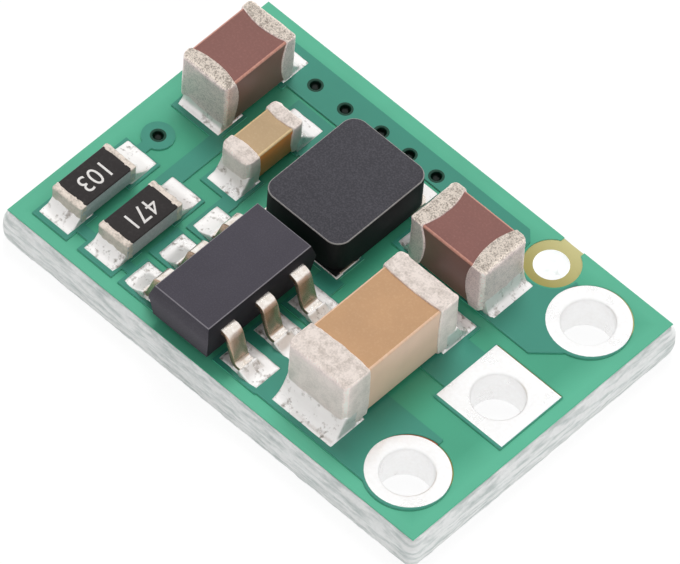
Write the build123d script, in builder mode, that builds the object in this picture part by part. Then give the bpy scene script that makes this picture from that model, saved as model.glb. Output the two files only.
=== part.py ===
from build123d import *
from dataclasses import dataclass
from math import atan, degrees, sqrt
import os

# A step-down regulator module on a small two-layer board, in millimetres. The origin is
# at the middle of the board's underside, +X runs along the long side towards the row of
# pin holes, +Y runs along that row from the input hole to the output hole, +Z is up.

# Board layers, from the underside up
copper_thickness = 0.035
mask_thickness = 0.02
laminate_thickness = 0.79
tin_thickness = 0.012

# The board is snapped out of a panel along V-grooves, so its sides stand out between them
upper_groove_depth = 0.25
upper_groove_reach = 0.11
lower_groove_depth = 0.20
lower_groove_reach = 0.03

# Pin holes in a row along the right-hand short side
pin_pitch = 2.54
pin_hole_diameter = 1.08
pin_land_size = 1.73
pin_plating_thickness = 0.03
pin_row_margin_low = 0.195
pin_row_margin_high = 0.295
pin_row_margin_right = 0.305

# Small bare hole beside the upper long side, with a ring free of mask round it
bare_hole_diameter = 0.73
bare_ring_diameter = 1.17
bare_ring_margin = 0.035
bare_hole_offset_x = -0.035
bare_hole_offset_y = -0.03
bare_neck_width = 0.53

# Vias
via_diameter = 0.34
via_wall_thickness = 0.02
via_ring_diameter = 0.64
via_plug_depth = 0.35
via_lining_thickness = 0.015
via_cup_taper = 12.0
via_sides = 8
return_via_gap = 0.23
return_via_offset_x = -0.065

# Solder mask registration: the openings sit a little towards +Y of the copper
mask_shift_y = 0.045

# Resistors, 0603 size, long side along Y
resistor_length = 1.55
resistor_width = 0.79
resistor_substrate_height = 0.40
resistor_band = 0.24
resistor_terminal_thickness = 0.022
resistor_glaze_thickness = 0.03
resistor_glaze_width = 0.72
resistor_land_width = 0.79
resistor_land_length = 0.72
resistor_toe = 0.46
resistor_climb = 0.26
lower_resistor_drift = (0.0, -0.075)
upper_resistor_drift = (0.04, -0.075)
resistor_gap = 0.43
resistor_margin_left = 0.47
resistor_margin_low = 0.35

# Corner capacitor, 0805 size, long side along Y
corner_cap_length = 2.0
corner_cap_width = 1.26
corner_cap_height = 1.30
corner_cap_band = 0.44
corner_cap_bulge = 0.12
corner_cap_climb = 0.34
corner_cap_land_width = 1.10
corner_cap_land_length = 0.72
corner_cap_toe = 0.28
corner_cap_drift = (-0.06, -0.08)
corner_cap_offset_x = 0.205
corner_cap_margin_high = 0.58
corner_cap_gap = 1.34

# Boost capacitor, 0603 size, long side along Y
boost_cap_length = 1.6
boost_cap_width = 0.78
boost_cap_height = 0.80
boost_cap_band = 0.36
boost_cap_bulge = 0.05
boost_cap_climb = 0.38
boost_cap_land_width = 0.79
boost_cap_land_length = 0.70
boost_cap_toe = 0.425
boost_cap_drift = (-0.01, -0.055)
boost_cap_offset_x = 0.49
boost_cap_gap = 0.45

# Output capacitor, 0805 size, long side along X
output_cap_length = 2.0
output_cap_width = 1.28
output_cap_height = 1.30
output_cap_band = 0.44
output_cap_bulge = 0.13
output_cap_climb = 0.55
output_cap_land_width = 1.12
output_cap_land_length = 0.72
output_cap_toe = 0.28
output_cap_drift = (0.05, -0.03)
output_cap_offset_x = -0.40
output_cap_gap = 0.37
output_cap_ring_gap = 0.135

# Input capacitor, 1206 size, long side along Y
input_cap_length = 3.2
input_cap_width = 1.6
input_cap_height = 1.45
input_cap_band = 0.60
input_cap_bulge = 0.05
input_cap_climb = 0.50
input_cap_land_width = 1.58
input_cap_land_length = 0.95
input_cap_toe = 0.445
input_cap_drift = (-0.04, -0.015)
input_cap_margin_low = 0.38
input_cap_gap_left = 0.38
input_cap_gap_right = 0.555

# End caps of the capacitors
end_cap_thickness = 0.025
end_cap_end_thickness = 0.05
end_cap_rim = 0.06
ceramic_edge_chamfer = 0.06

# Regulator, six leads in two rows along Y
package_length = 3.0
package_width = 1.6
package_height = 0.90
package_draft = 10.0
package_standoff = 0.06
package_margin_low = 0.12
lead_pitch = 0.95
lead_width = 0.38
lead_thickness = 0.13
lead_span = 2.84
lead_shoulder = 0.24
lead_bend_radius = 0.10
lead_embedded = 0.28
regulator_land_width = 0.68
regulator_land_length = 1.0
regulator_toe = 0.36
regulator_drift = (-0.08, -0.02)
regulator_gap_left = 0.31
paddle_width = 0.70
paddle_length = 1.70
die_width = 0.56
die_length = 1.10
die_thickness = 0.20

# Choke, long side along Y
choke_length = 2.61
choke_width = 2.08
choke_height = 0.88
choke_corner_radius = 0.32
choke_edge_chamfer = 0.03
choke_terminal_length = 0.62
choke_terminal_thickness = 0.05
choke_terminal_corner = 0.10
choke_land_width = 2.05
choke_land_length = 0.67
choke_toe = 0.105
choke_drift = (-0.01, -0.093)
choke_gap = 0.26
winding_margin = 0.26
winding_radial = 0.36
winding_corner = 0.50
winding_height = 0.44
winding_leg_width = 0.30
winding_cover = 0.16

# Solder between the lands and the parts
solder_gap = 0.05
fillet_overrun = 0.05
fillet_hollow = 0.12
foot_fillet_slope = 30.0

# Copper under the mask
track_width = 0.20
sense_track_width = 0.38
copper_margin = 0.05
bus_height = 0.85
bus_gap = 0.35
bus_margin_high = 0.38
via_row_gap = 0.19
bus_left_margin = 0.30
bus_land_gap = 0.12
bus_corner = 0.20
ring_clearance = 0.075
edge_clearance = 0.20
ground_bridge_width = 1.10
switch_bridge_width = 0.50
boost_bridge_width = 0.30
output_pour_corner = 0.47
output_pour_rise = 0.50
input_pour_corner = 0.48

# Levels
laminate_bottom = mask_thickness + copper_thickness
laminate_top = laminate_bottom + laminate_thickness
copper_top = laminate_top + copper_thickness
board_top = copper_top + mask_thickness
copper_bottom = mask_thickness
seat_level = copper_top + solder_gap

# Spans of the land pairs
resistor_span = resistor_length + 2 * resistor_toe
corner_cap_span = corner_cap_length + 2 * corner_cap_toe
boost_cap_span = boost_cap_length + 2 * boost_cap_toe
output_cap_span = output_cap_length + 2 * output_cap_toe
input_cap_span = input_cap_length + 2 * input_cap_toe
choke_span = choke_length + 2 * choke_toe
regulator_span = lead_span + 2 * regulator_toe

# The board is as long as its columns of parts and as wide as its fullest column
board_length = (
    resistor_margin_left + 2 * resistor_land_width + resistor_gap
    + regulator_gap_left + regulator_span
    + input_cap_gap_left + input_cap_land_width + input_cap_gap_right
    + pin_land_size + pin_row_margin_right
)
resistor_column = (
    resistor_margin_low + resistor_span + corner_cap_gap
    + corner_cap_span + corner_cap_margin_high
)
boost_column = (
    resistor_margin_low + resistor_span + boost_cap_gap
    + boost_cap_span + bus_gap + bus_height + bus_margin_high
)
choke_column = (
    package_margin_low + package_length + choke_gap + choke_span
    + via_row_gap + via_diameter + via_row_gap + bus_margin_high
)
input_column = (
    input_cap_margin_low + input_cap_span + output_cap_gap + output_cap_land_width
    + output_cap_ring_gap + bare_ring_diameter + bare_ring_margin
)
pin_column = pin_row_margin_low + 2 * pin_pitch + pin_land_size + pin_row_margin_high
board_width = max(resistor_column, boost_column, choke_column, input_column, pin_column)

left_edge = -board_length / 2
right_edge = board_length / 2
low_edge = -board_width / 2
high_edge = board_width / 2

# Places of the parts' land pairs, from the left edge to the right and from the edges in
lower_resistor_x = left_edge + resistor_margin_left + resistor_land_width / 2
upper_resistor_x = lower_resistor_x + resistor_land_width + resistor_gap
regulator_x = upper_resistor_x + resistor_land_width / 2 + regulator_gap_left + regulator_span / 2
input_cap_x = regulator_x + regulator_span / 2 + input_cap_gap_left + input_cap_land_width / 2
pin_row_x = right_edge - pin_row_margin_right - pin_land_size / 2
pin_row_y = (pin_row_margin_low - pin_row_margin_high) / 2

resistor_y = low_edge + resistor_margin_low + resistor_span / 2
regulator_y = low_edge + package_margin_low + package_length / 2 - regulator_drift[1]
input_cap_y = low_edge + input_cap_margin_low + input_cap_span / 2
corner_cap_x = lower_resistor_x + corner_cap_offset_x
corner_cap_y = high_edge - corner_cap_margin_high - corner_cap_span / 2
bus_top = high_edge - bus_margin_high
bus_low = bus_top - bus_height
boost_cap_x = upper_resistor_x + boost_cap_offset_x
boost_cap_y = bus_low - bus_gap - boost_cap_span / 2
choke_x = regulator_x
choke_y = bus_top - 2 * via_row_gap - via_diameter - choke_span / 2
bare_hole_x = input_cap_x + input_cap_land_width / 2 + bare_hole_offset_x
bare_ring_y = high_edge - bare_ring_margin - bare_ring_diameter / 2
bare_hole_y = bare_ring_y + bare_hole_offset_y
output_cap_x = input_cap_x + output_cap_offset_x
output_cap_y = bare_ring_y - bare_ring_diameter / 2 - output_cap_ring_gap - output_cap_land_width / 2


@dataclass
class Site:
    """A two-terminal part and its pair of lands, which lie apart along X or along Y."""

    x: float
    y: float
    along_y: bool
    length: float
    width: float
    height: float
    band: float
    land_width: float
    land_length: float
    toe: float
    drift: tuple

    @property
    def span(self):
        return self.length + 2 * self.toe

    def frame(self, level, drifted=False):
        """The part's own plane at a level, with local X along its length."""
        dx, dy = self.drift if drifted else (0.0, 0.0)
        forward = (0, 1, 0) if self.along_y else (1, 0, 0)
        return Plane(origin=(self.x + dx, self.y + dy, level), x_dir=forward, z_dir=(0, 0, 1))

    def land(self, side):
        """Centre, X size and Y size of the land at the low end (-1) or the high end (+1)."""
        reach = side * (self.span - self.land_length) / 2
        if self.along_y:
            return (self.x, self.y + reach), self.land_width, self.land_length
        return (self.x + reach, self.y), self.land_length, self.land_width

    def end(self, side):
        """Place along the pair's own line, from its middle, of the part's end face."""
        shift = self.drift[1] if self.along_y else self.drift[0]
        return shift + side * self.length / 2

    def sideways(self):
        """Offset of the part across the pair's line, in the part's own frame."""
        return -self.drift[0] if self.along_y else self.drift[1]


lower_resistor = Site(
    lower_resistor_x, resistor_y, True, resistor_length, resistor_width,
    resistor_substrate_height, resistor_band, resistor_land_width, resistor_land_length,
    resistor_toe, lower_resistor_drift,
)
upper_resistor = Site(
    upper_resistor_x, resistor_y, True, resistor_length, resistor_width,
    resistor_substrate_height, resistor_band, resistor_land_width, resistor_land_length,
    resistor_toe, upper_resistor_drift,
)
corner_cap = Site(
    corner_cap_x, corner_cap_y, True, corner_cap_length, corner_cap_width, corner_cap_height,
    corner_cap_band, corner_cap_land_width, corner_cap_land_length, corner_cap_toe, corner_cap_drift,
)
boost_cap = Site(
    boost_cap_x, boost_cap_y, True, boost_cap_length, boost_cap_width, boost_cap_height,
    boost_cap_band, boost_cap_land_width, boost_cap_land_length, boost_cap_toe, boost_cap_drift,
)
output_cap = Site(
    output_cap_x, output_cap_y, False, output_cap_length, output_cap_width, output_cap_height,
    output_cap_band, output_cap_land_width, output_cap_land_length, output_cap_toe, output_cap_drift,
)
input_cap = Site(
    input_cap_x, input_cap_y, True, input_cap_length, input_cap_width, input_cap_height,
    input_cap_band, input_cap_land_width, input_cap_land_length, input_cap_toe, input_cap_drift,
)
choke = Site(
    choke_x, choke_y, True, choke_length, choke_width, choke_height,
    choke_terminal_length, choke_land_width, choke_land_length, choke_toe, choke_drift,
)

# Holes and vias
pin_holes = {
    "input": (pin_row_x, pin_row_y - pin_pitch),
    "ground": (pin_row_x, pin_row_y),
    "output": (pin_row_x, pin_row_y + pin_pitch),
}
pin_drill_radius = pin_hole_diameter / 2 + pin_plating_thickness
resistor_land_top = resistor_y + resistor_span / 2
via_row_y = bus_top - via_row_gap - via_diameter / 2
via_row_offsets = ((-2.48, -0.10), (-1.67, -0.10), (-0.79, 0.0), (-0.03, 0.0), (0.70, 0.0))
bus_vias = [(choke_x + dx, via_row_y + dy) for dx, dy in via_row_offsets]
return_via = (
    lower_resistor_x + return_via_offset_x,
    resistor_land_top + return_via_gap + via_ring_diameter / 2,
)
vias = bus_vias + [return_via]


def lead_land(side, row):
    """Land of a regulator lead: side -1 or +1 along X, row -1, 0 or +1 along Y."""
    x = regulator_x + side * (regulator_span - regulator_land_length) / 2
    return (x, regulator_y + row * lead_pitch), regulator_land_length, regulator_land_width


def add_box(x0, y0, x1, y1, grown=0.0, mode=Mode.ADD):
    """A rectangle of copper between two corners."""
    with Locations(((x0 + x1) / 2, (y0 + y1) / 2)):
        Rectangle(abs(x1 - x0) + 2 * grown, abs(y1 - y0) + 2 * grown, mode=mode)


def add_land(land, grown):
    """A land's copper, which reaches under the mask by a margin."""
    centre, size_x, size_y = land
    margin = copper_margin + grown
    with Locations(centre):
        Rectangle(size_x + 2 * margin, size_y + 2 * margin)


def add_patch(grown, *points):
    """A patch of copper with straight sides."""
    with BuildSketch() as patch:
        Polygon(*points, align=None)
        if grown:
            offset(amount=grown, kind=Kind.INTERSECTION)
    add(patch.sketch)


def clear_of_bare_ring(grown=0.0):
    """Copper keeps away from the bare ring round the small hole."""
    with Locations((bare_hole_x, bare_ring_y)):
        Circle(bare_ring_diameter / 2 + ring_clearance - grown, mode=Mode.SUBTRACT)


# Copper on the top face, one outline for each net. A grown outline is the same one with
# a margin all round, which is what the mask follows.
lead_land_left = regulator_x - regulator_span / 2
lead_land_right = regulator_x + regulator_span / 2
pour_left = lead_land_right - regulator_land_length - copper_margin
input_pour_low = input_cap_y - input_cap_span / 2 - copper_margin
input_pour_top = regulator_y + regulator_land_width / 2 + 2 * copper_margin
input_x, input_y = pin_holes["input"]


def input_outline(grown=0.0):
    """The input's copper, from its pin hole to the capacitor and the regulator."""
    with BuildSketch() as net:
        add_patch(
            grown,
            (pour_left, input_pour_low),
            (input_x - input_pour_corner, input_pour_low),
            (input_x, input_y),
            (input_x - copper_margin, input_pour_top),
            (pour_left, input_pour_top),
        )
        add_land(lead_land(1, 0), grown)
        add_land(lead_land(1, -1), grown)
        add_land(input_cap.land(-1), grown)
        with Locations(pin_holes["input"]):
            Circle(pin_land_size / 2 + grown)
    return net


output_x, output_y = pin_holes["output"]
output_pour_low = output_cap_y - output_cap_land_width / 2 - copper_margin
output_pour_left = output_cap_x + output_cap_span / 2 - output_cap_land_length - copper_margin
sense_x = upper_resistor_x - resistor_land_width / 2 + copper_margin / 2


def output_outline(grown=0.0):
    """The output's copper, with the sense track to the upper resistor."""
    with BuildSketch() as net:
        add_patch(
            grown,
            (output_pour_left, output_pour_low),
            (output_x - output_pour_corner + 3 * copper_margin, output_pour_low),
            (output_x + 3 * copper_margin, output_pour_low + output_pour_corner),
            (output_x, output_y),
            (output_x - pin_land_size / 2 + 2 * copper_margin, output_y + output_pour_rise),
            (output_pour_left, output_y + output_pour_rise),
        )
        clear_of_bare_ring(grown)
        with Locations(pin_holes["output"]):
            Circle(pin_land_size / 2 + grown)
        add_land(corner_cap.land(-1), grown)
        add_land(upper_resistor.land(1), grown)
        add_box(
            sense_x - sense_track_width / 2, resistor_land_top - resistor_land_length,
            sense_x + sense_track_width / 2, corner_cap_y - corner_cap_span / 2 + copper_margin,
            grown,
        )
        add_land(choke.land(1), grown)
        add_land(boost_cap.land(1), grown)
        add_box(
            boost_cap_x - boost_cap_land_width / 2 - copper_margin,
            boost_cap_y + boost_cap_span / 2 - boost_cap_land_length,
            choke_x,
            bus_low - bus_land_gap,
            grown,
        )
    return net


ground_x, ground_y = pin_holes["ground"]
bus_left = left_edge + bus_left_margin
bus_right = bare_hole_x - bare_ring_diameter / 2 - ring_clearance
choke_land_left = choke_x - choke_land_width / 2 - copper_margin
choke_land_top = choke_y + choke_span / 2 + copper_margin


def ground_outline(grown=0.0):
    """The ground copper: the bus along the upper edge and its islands."""
    with BuildSketch() as net:
        add_patch(
            grown,
            (bus_left, bus_low),
            (choke_land_left - bus_land_gap, bus_low),
            (choke_land_left - bus_land_gap, choke_land_top + bus_land_gap),
            (bus_right, choke_land_top + bus_land_gap),
            (bus_right, bus_top - bus_corner),
            (bus_right - bus_corner, bus_top),
            (bus_left, bus_top),
        )
        add_land(corner_cap.land(1), grown)
        add_land(output_cap.land(-1), grown)
        add_box(
            output_cap_x - output_cap_span / 2 - copper_margin, output_cap_y,
            output_cap_x - output_cap_span / 2 + output_cap_land_length, bus_top - via_row_gap,
            grown,
        )
        clear_of_bare_ring(grown)
        add_land(input_cap.land(1), grown)
        add_box(
            input_cap_x, ground_y - ground_bridge_width / 2,
            ground_x, ground_y + ground_bridge_width / 2,
            grown,
        )
        with Locations(pin_holes["ground"]):
            Rectangle(pin_land_size + 2 * grown, pin_land_size + 2 * grown)
        add_land(lead_land(-1, 0), grown)
        add_box(
            lead_land_left - 3 * copper_margin, regulator_y - regulator_land_width / 2 - copper_margin,
            regulator_x - regulator_toe, regulator_y + regulator_land_width / 2 + copper_margin,
            grown,
        )
        add_land(lower_resistor.land(1), grown)
        with Locations(return_via):
            Circle(via_ring_diameter / 2 + grown)
        add_box(
            return_via[0] - track_width / 2, resistor_land_top - resistor_land_length / 2,
            return_via[0] + track_width / 2, return_via[1],
            grown,
        )
    return net


def switch_outline(grown=0.0):
    """The copper between the regulator's switch lead and the choke."""
    with BuildSketch() as net:
        add_land(choke.land(-1), grown)
        add_land(lead_land(1, 1), grown)
        add_box(
            pour_left, regulator_y + lead_pitch,
            pour_left + switch_bridge_width, choke_y - choke_span / 2,
            grown,
        )
    return net


def boost_outline(grown=0.0):
    """The copper between the boost lead and the boost capacitor."""
    with BuildSketch() as net:
        add_land(boost_cap.land(-1), grown)
        add_land(lead_land(-1, 1), grown)
        add_box(
            lead_land_left - copper_margin, regulator_y + lead_pitch,
            lead_land_left - copper_margin + boost_bridge_width, boost_cap_y - boost_cap_span / 2,
            grown,
        )
    return net


feedback_y = regulator_y - lead_pitch


def feedback_outline(grown=0.0):
    """The track that joins both resistors to the feedback lead."""
    with BuildSketch() as net:
        add_land(lower_resistor.land(-1), grown)
        add_land(upper_resistor.land(-1), grown)
        add_land(lead_land(-1, -1), grown)
        add_box(
            lower_resistor_x, feedback_y - track_width / 2,
            lead_land_left + regulator_toe, feedback_y + track_width / 2,
            grown,
        )
    return net


net_outlines = {
    "input": input_outline,
    "output": output_outline,
    "ground": ground_outline,
    "switch": switch_outline,
    "boost": boost_outline,
    "feedback": feedback_outline,
}
nets = {name: outline() for name, outline in net_outlines.items()}


def keep(piece, name):
    """Label a finished piece and write it as a STEP file of that name."""
    piece.part.label = name
    export_step(piece.part, f"parts/{name}.step")


def drill(points, radius):
    """Round holes right through whatever is being built."""
    with Locations([(x, y, board_top / 2) for x, y in points]):
        Cylinder(radius, 2 * board_top, mode=Mode.SUBTRACT)


def via_posts(radius, low, high, mode=Mode.ADD):
    """A post at each via between two levels. So small a hole has few sides."""
    with BuildSketch(Plane.XY.offset(low)) as posts:
        with Locations(*vias):
            RegularPolygon(radius, via_sides)
    extrude(posts.sketch, amount=high - low, mode=mode)


def drill_board():
    """The board's pin holes, vias and bare hole, at the size of the drills."""
    drill(pin_holes.values(), pin_drill_radius)
    drill([(bare_hole_x, bare_hole_y)], bare_hole_diameter / 2)
    via_posts(via_diameter / 2, 0, board_top, Mode.SUBTRACT)


standing = (Align.CENTER, Align.CENTER, Align.MIN)

os.makedirs("parts", exist_ok=True)

# Board
with BuildSketch() as outline:
    Rectangle(board_length, board_width)

with BuildSketch() as web:
    Rectangle(board_length + 2 * upper_groove_reach, board_width + 2 * upper_groove_reach)

upper_groove = laminate_top - upper_groove_depth
lower_groove = laminate_bottom + lower_groove_depth

with BuildPart() as laminate:
    with BuildSketch(Plane.XY.offset(lower_groove)):
        add(web.sketch)
    extrude(amount=upper_groove - lower_groove)
    with BuildSketch(Plane.XY.offset(upper_groove)):
        add(web.sketch)
    extrude(amount=upper_groove_depth, taper=degrees(atan(upper_groove_reach / upper_groove_depth)))
    with BuildSketch(Plane(origin=(0, 0, lower_groove), z_dir=(0, 0, -1))):
        add(web.sketch)
    extrude(amount=lower_groove_depth, taper=degrees(atan(lower_groove_reach / lower_groove_depth)))
    drill_board()
keep(laminate, "board_laminate")

foils = {}
for net_name, net in nets.items():
    with BuildPart() as foil:
        with BuildSketch(Plane.XY.offset(laminate_top)):
            add(net.sketch)
        extrude(amount=copper_thickness)
        drill_board()
    foils[net_name] = foil
    keep(foil, f"{net_name}_copper")

# The underside is one ground plane, and rings stand apart in it round the outer pin holes
with BuildSketch() as ground_plane:
    Rectangle(board_length - 2 * edge_clearance, board_width - 2 * edge_clearance)
    with Locations(pin_holes["input"], pin_holes["output"]):
        Circle(pin_land_size / 2 + bus_land_gap, mode=Mode.SUBTRACT)
    add_box(input_x, input_y, right_edge, low_edge, mode=Mode.SUBTRACT)
    add_box(output_x, output_y, right_edge, high_edge, mode=Mode.SUBTRACT)
    with Locations(pin_holes["input"], pin_holes["output"]):
        Circle(pin_land_size / 2)
    clear_of_bare_ring()
    add_box(bare_hole_x, bare_ring_y, output_x, high_edge, mode=Mode.SUBTRACT)

with BuildPart() as bottom_foil:
    with BuildSketch(Plane.XY.offset(copper_bottom)):
        add(ground_plane.sketch)
    extrude(amount=copper_thickness)
    drill_board()
keep(bottom_foil, "bottom_copper")

via_bore = via_diameter / 2 - via_wall_thickness
with BuildPart() as via_barrels:
    via_posts(via_diameter / 2, copper_bottom, copper_top)
    via_posts(via_bore, copper_bottom, copper_top, Mode.SUBTRACT)
keep(via_barrels, "via_barrels")


def pin_land_shape(name, growth=0.0):
    """The land of a pin hole: square at ground, round at the others."""
    if name == "ground":
        Rectangle(pin_land_size + growth, pin_land_size + growth)
    else:
        Circle(pin_land_size / 2 + growth / 2)


# Each pin hole is lined with plated copper, which is tinned over its lands on both faces
for name, place in pin_holes.items():
    opening = (place[0], place[1] + mask_shift_y)
    with BuildPart() as plating:
        with BuildSketch(Plane.XY.offset(copper_bottom)):
            with Locations(place):
                Circle(pin_drill_radius)
        extrude(amount=copper_top - copper_bottom)
        with BuildSketch(Plane.XY.offset(copper_top)):
            with Locations(opening):
                pin_land_shape(name)
            add(nets[name].sketch, mode=Mode.INTERSECT)
        extrude(amount=tin_thickness)
        with BuildSketch(Plane.XY.offset(copper_bottom - tin_thickness)):
            with Locations(place):
                pin_land_shape(name)
        extrude(amount=tin_thickness)
        drill([place], pin_hole_diameter / 2)
    keep(plating, f"barrel_of_{name}_hole")

# Solder mask: a thin sheet on the laminate that climbs over the copper, open at the lands
land_openings = [
    lower_resistor.land(-1), lower_resistor.land(1), upper_resistor.land(-1), upper_resistor.land(1),
    corner_cap.land(-1), corner_cap.land(1), boost_cap.land(-1), boost_cap.land(1),
    output_cap.land(-1), output_cap.land(1), input_cap.land(-1), input_cap.land(1),
    choke.land(-1), choke.land(1),
] + [lead_land(side, row) for side in (-1, 1) for row in (-1, 0, 1)]


def open_land(land):
    """The opening in the mask over a land."""
    (x, y), size_x, size_y = land
    with Locations((x, y + mask_shift_y)):
        Rectangle(size_x, size_y)


with BuildSketch() as mask_openings:
    for land in land_openings:
        open_land(land)
    for name, (x, y) in pin_holes.items():
        with Locations((x, y + mask_shift_y)):
            pin_land_shape(name)
    with Locations((bare_hole_x, bare_ring_y)):
        Circle(bare_ring_diameter / 2)
    add_box(
        bare_hole_x - bare_neck_width / 2, bare_ring_y,
        bare_hole_x + bare_neck_width / 2, high_edge + bare_ring_margin,
    )

with BuildPart() as top_mask:
    with BuildSketch(Plane.XY.offset(laminate_top)):
        add(outline.sketch)
    extrude(amount=mask_thickness)
    for net_outline in net_outlines.values():
        with BuildSketch(Plane.XY.offset(laminate_top)):
            add(net_outline(mask_thickness).sketch)
        extrude(amount=copper_thickness + mask_thickness)
    for foil in foils.values():
        add(foil.part, mode=Mode.SUBTRACT)
    with BuildSketch(Plane.XY.offset(laminate_top)):
        add(mask_openings.sketch)
    extrude(amount=copper_thickness + 2 * mask_thickness, mode=Mode.SUBTRACT)
    # The mask runs down into each via as a cup that closes it
    via_posts(via_bore, board_top - via_plug_depth, board_top)
    cup_floor = board_top - via_plug_depth + 2 * via_lining_thickness
    with BuildSketch(Plane.XY.offset(board_top)):
        with Locations(*vias):
            RegularPolygon(via_bore - via_lining_thickness, via_sides)
    extrude(amount=cup_floor - board_top, taper=via_cup_taper, mode=Mode.SUBTRACT)
keep(top_mask, "top_solder_mask")

with BuildPart() as bottom_mask:
    with BuildSketch():
        add(outline.sketch)
    extrude(amount=laminate_bottom)
    add(bottom_foil.part, mode=Mode.SUBTRACT)
    via_posts(via_diameter / 2, copper_bottom, laminate_bottom, Mode.SUBTRACT)
    for name, place in pin_holes.items():
        with BuildSketch():
            with Locations(place):
                pin_land_shape(name, 2 * mask_thickness)
        extrude(amount=laminate_bottom, mode=Mode.SUBTRACT)
    drill([(bare_hole_x, bare_hole_y)], bare_ring_diameter / 2)
keep(bottom_mask, "bottom_solder_mask")


def ceramic_capacitor(site, bulge, name):
    """A ceramic block and its two end caps, whose inner edges bow towards the middle."""
    seat = site.frame(seat_level, drifted=True)
    along = Axis(seat.origin, seat.x_dir)
    skin = end_cap_thickness
    with BuildPart() as block:
        with Locations(seat):
            with Locations((0, 0, skin)):
                Box(
                    site.length - 2 * end_cap_end_thickness, site.width - 2 * skin,
                    site.height - 2 * skin, align=standing,
                )
        chamfer(block.edges().filter_by(along), ceramic_edge_chamfer)
    keep(block, f"{name}_ceramic")
    # A sphere about a point beyond the end bounds the cap with an arc on each long face
    face_reach = (site.width / 2) ** 2 / (2 * bulge) + bulge / 2
    bow_radius = sqrt(face_reach ** 2 + (site.height / 2) ** 2)
    bow_centre = site.length / 2 - site.band + face_reach
    pieces = [block]
    for side, place in ((-1, "first"), (1, "second")):
        with BuildPart() as cap:
            with Locations(seat):
                Box(site.length, site.width, site.height, align=standing)
            chamfer(cap.edges().filter_by(along), ceramic_edge_chamfer + skin)
            chamfer(cap.faces().filter_by(along).edges(), end_cap_rim)
            with Locations(seat):
                with Locations((side * bow_centre, 0, site.height / 2)):
                    Sphere(bow_radius, mode=Mode.INTERSECT)
            add(block.part, mode=Mode.SUBTRACT)
        keep(cap, f"{name}_{place}_cap")
        pieces.append(cap)
    return pieces


def solder_joints(site, pieces, net_pair, climb, name):
    """Tin over both lands of a part, and a hollow fillet up each of its end faces."""
    section_frame = site.frame(copper_top)
    middle = section_frame.origin + section_frame.y_dir * site.sideways()
    section = Plane(origin=middle, x_dir=section_frame.x_dir, z_dir=-section_frame.y_dir)
    half_width = min(site.land_width / 2 - abs(site.sideways()), site.width / 2) - fillet_overrun
    with BuildPart() as joint:
        for side, net in zip((-1, 1), net_pair):
            outer = side * (site.span / 2 - fillet_overrun)
            inner = side * (site.span / 2 - site.land_length)
            face = site.end(side)
            core = face - side * site.band / 3
            hollow = (face + fillet_hollow * (outer - face), tin_thickness + fillet_hollow * climb)
            with BuildSketch(section):
                with BuildLine():
                    Polyline(
                        (outer, tin_thickness), (outer, 0), (inner, 0), (inner, solder_gap),
                        (core, solder_gap), (core, climb), (face, climb),
                    )
                    Bezier((face, climb), hollow, (outer, tin_thickness))
                make_face()
            extrude(amount=half_width, both=True)
            with BuildSketch(Plane.XY.offset(copper_top)):
                open_land(site.land(side))
                add(net.sketch, mode=Mode.INTERSECT)
            extrude(amount=tin_thickness)
        for piece in pieces:
            add(piece.part, mode=Mode.SUBTRACT)
    keep(joint, f"{name}_solder")


# Capacitors
corner_pieces = ceramic_capacitor(corner_cap, corner_cap_bulge, "corner_capacitor")
boost_pieces = ceramic_capacitor(boost_cap, boost_cap_bulge, "boost_capacitor")
output_pieces = ceramic_capacitor(output_cap, output_cap_bulge, "output_capacitor")
input_pieces = ceramic_capacitor(input_cap, input_cap_bulge, "input_capacitor")
solder_joints(
    corner_cap, corner_pieces, (nets["output"], nets["ground"]), corner_cap_climb, "corner_capacitor",
)
solder_joints(
    boost_cap, boost_pieces, (nets["boost"], nets["output"]), boost_cap_climb, "boost_capacitor",
)
solder_joints(
    output_cap, output_pieces, (nets["ground"], nets["output"]), output_cap_climb, "output_capacitor",
)
solder_joints(
    input_cap, input_pieces, (nets["input"], nets["ground"]), input_cap_climb, "input_capacitor",
)


def chip_resistor(site, net_pair, name):
    """An alumina slab with a glazed film on top and metal wrapped round its two ends."""
    seat = site.frame(seat_level, drifted=True)
    skin = resistor_terminal_thickness
    with BuildPart() as slab:
        with Locations(seat):
            with Locations((0, 0, skin)):
                Box(site.length - 2 * skin, site.width, site.height, align=standing)
    keep(slab, f"{name}_substrate")
    pieces = [slab]
    for side, place in ((-1, "first"), (1, "second")):
        with BuildPart() as terminal:
            with Locations(seat):
                with Locations((side * (site.length - site.band) / 2, 0, 0)):
                    Box(site.band, site.width, site.height + 2 * skin, align=standing)
            chamfer(terminal.edges().filter_by(Axis(seat.origin, seat.y_dir)), skin)
            add(slab.part, mode=Mode.SUBTRACT)
        keep(terminal, f"{name}_{place}_terminal")
        pieces.append(terminal)
    with BuildPart() as glaze:
        with Locations(seat):
            with Locations((0, 0, site.height + skin)):
                Box(
                    site.length - 2 * site.band, resistor_glaze_width,
                    resistor_glaze_thickness, align=standing,
                )
        fillet(glaze.edges().group_by(Axis.Z)[-1], resistor_glaze_thickness / 2)
    keep(glaze, f"{name}_glaze")
    solder_joints(site, pieces, net_pair, resistor_climb, name)


# Resistors
chip_resistor(lower_resistor, (nets["feedback"], nets["ground"]), "lower_resistor")
chip_resistor(upper_resistor, (nets["feedback"], nets["output"]), "upper_resistor")

# Regulator
body_x = regulator_x + regulator_drift[0]
body_y = regulator_y + regulator_drift[1]
package_low = seat_level + package_standoff
package_middle = package_low + package_height / 2
foot_level = seat_level + lead_thickness / 2


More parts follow.
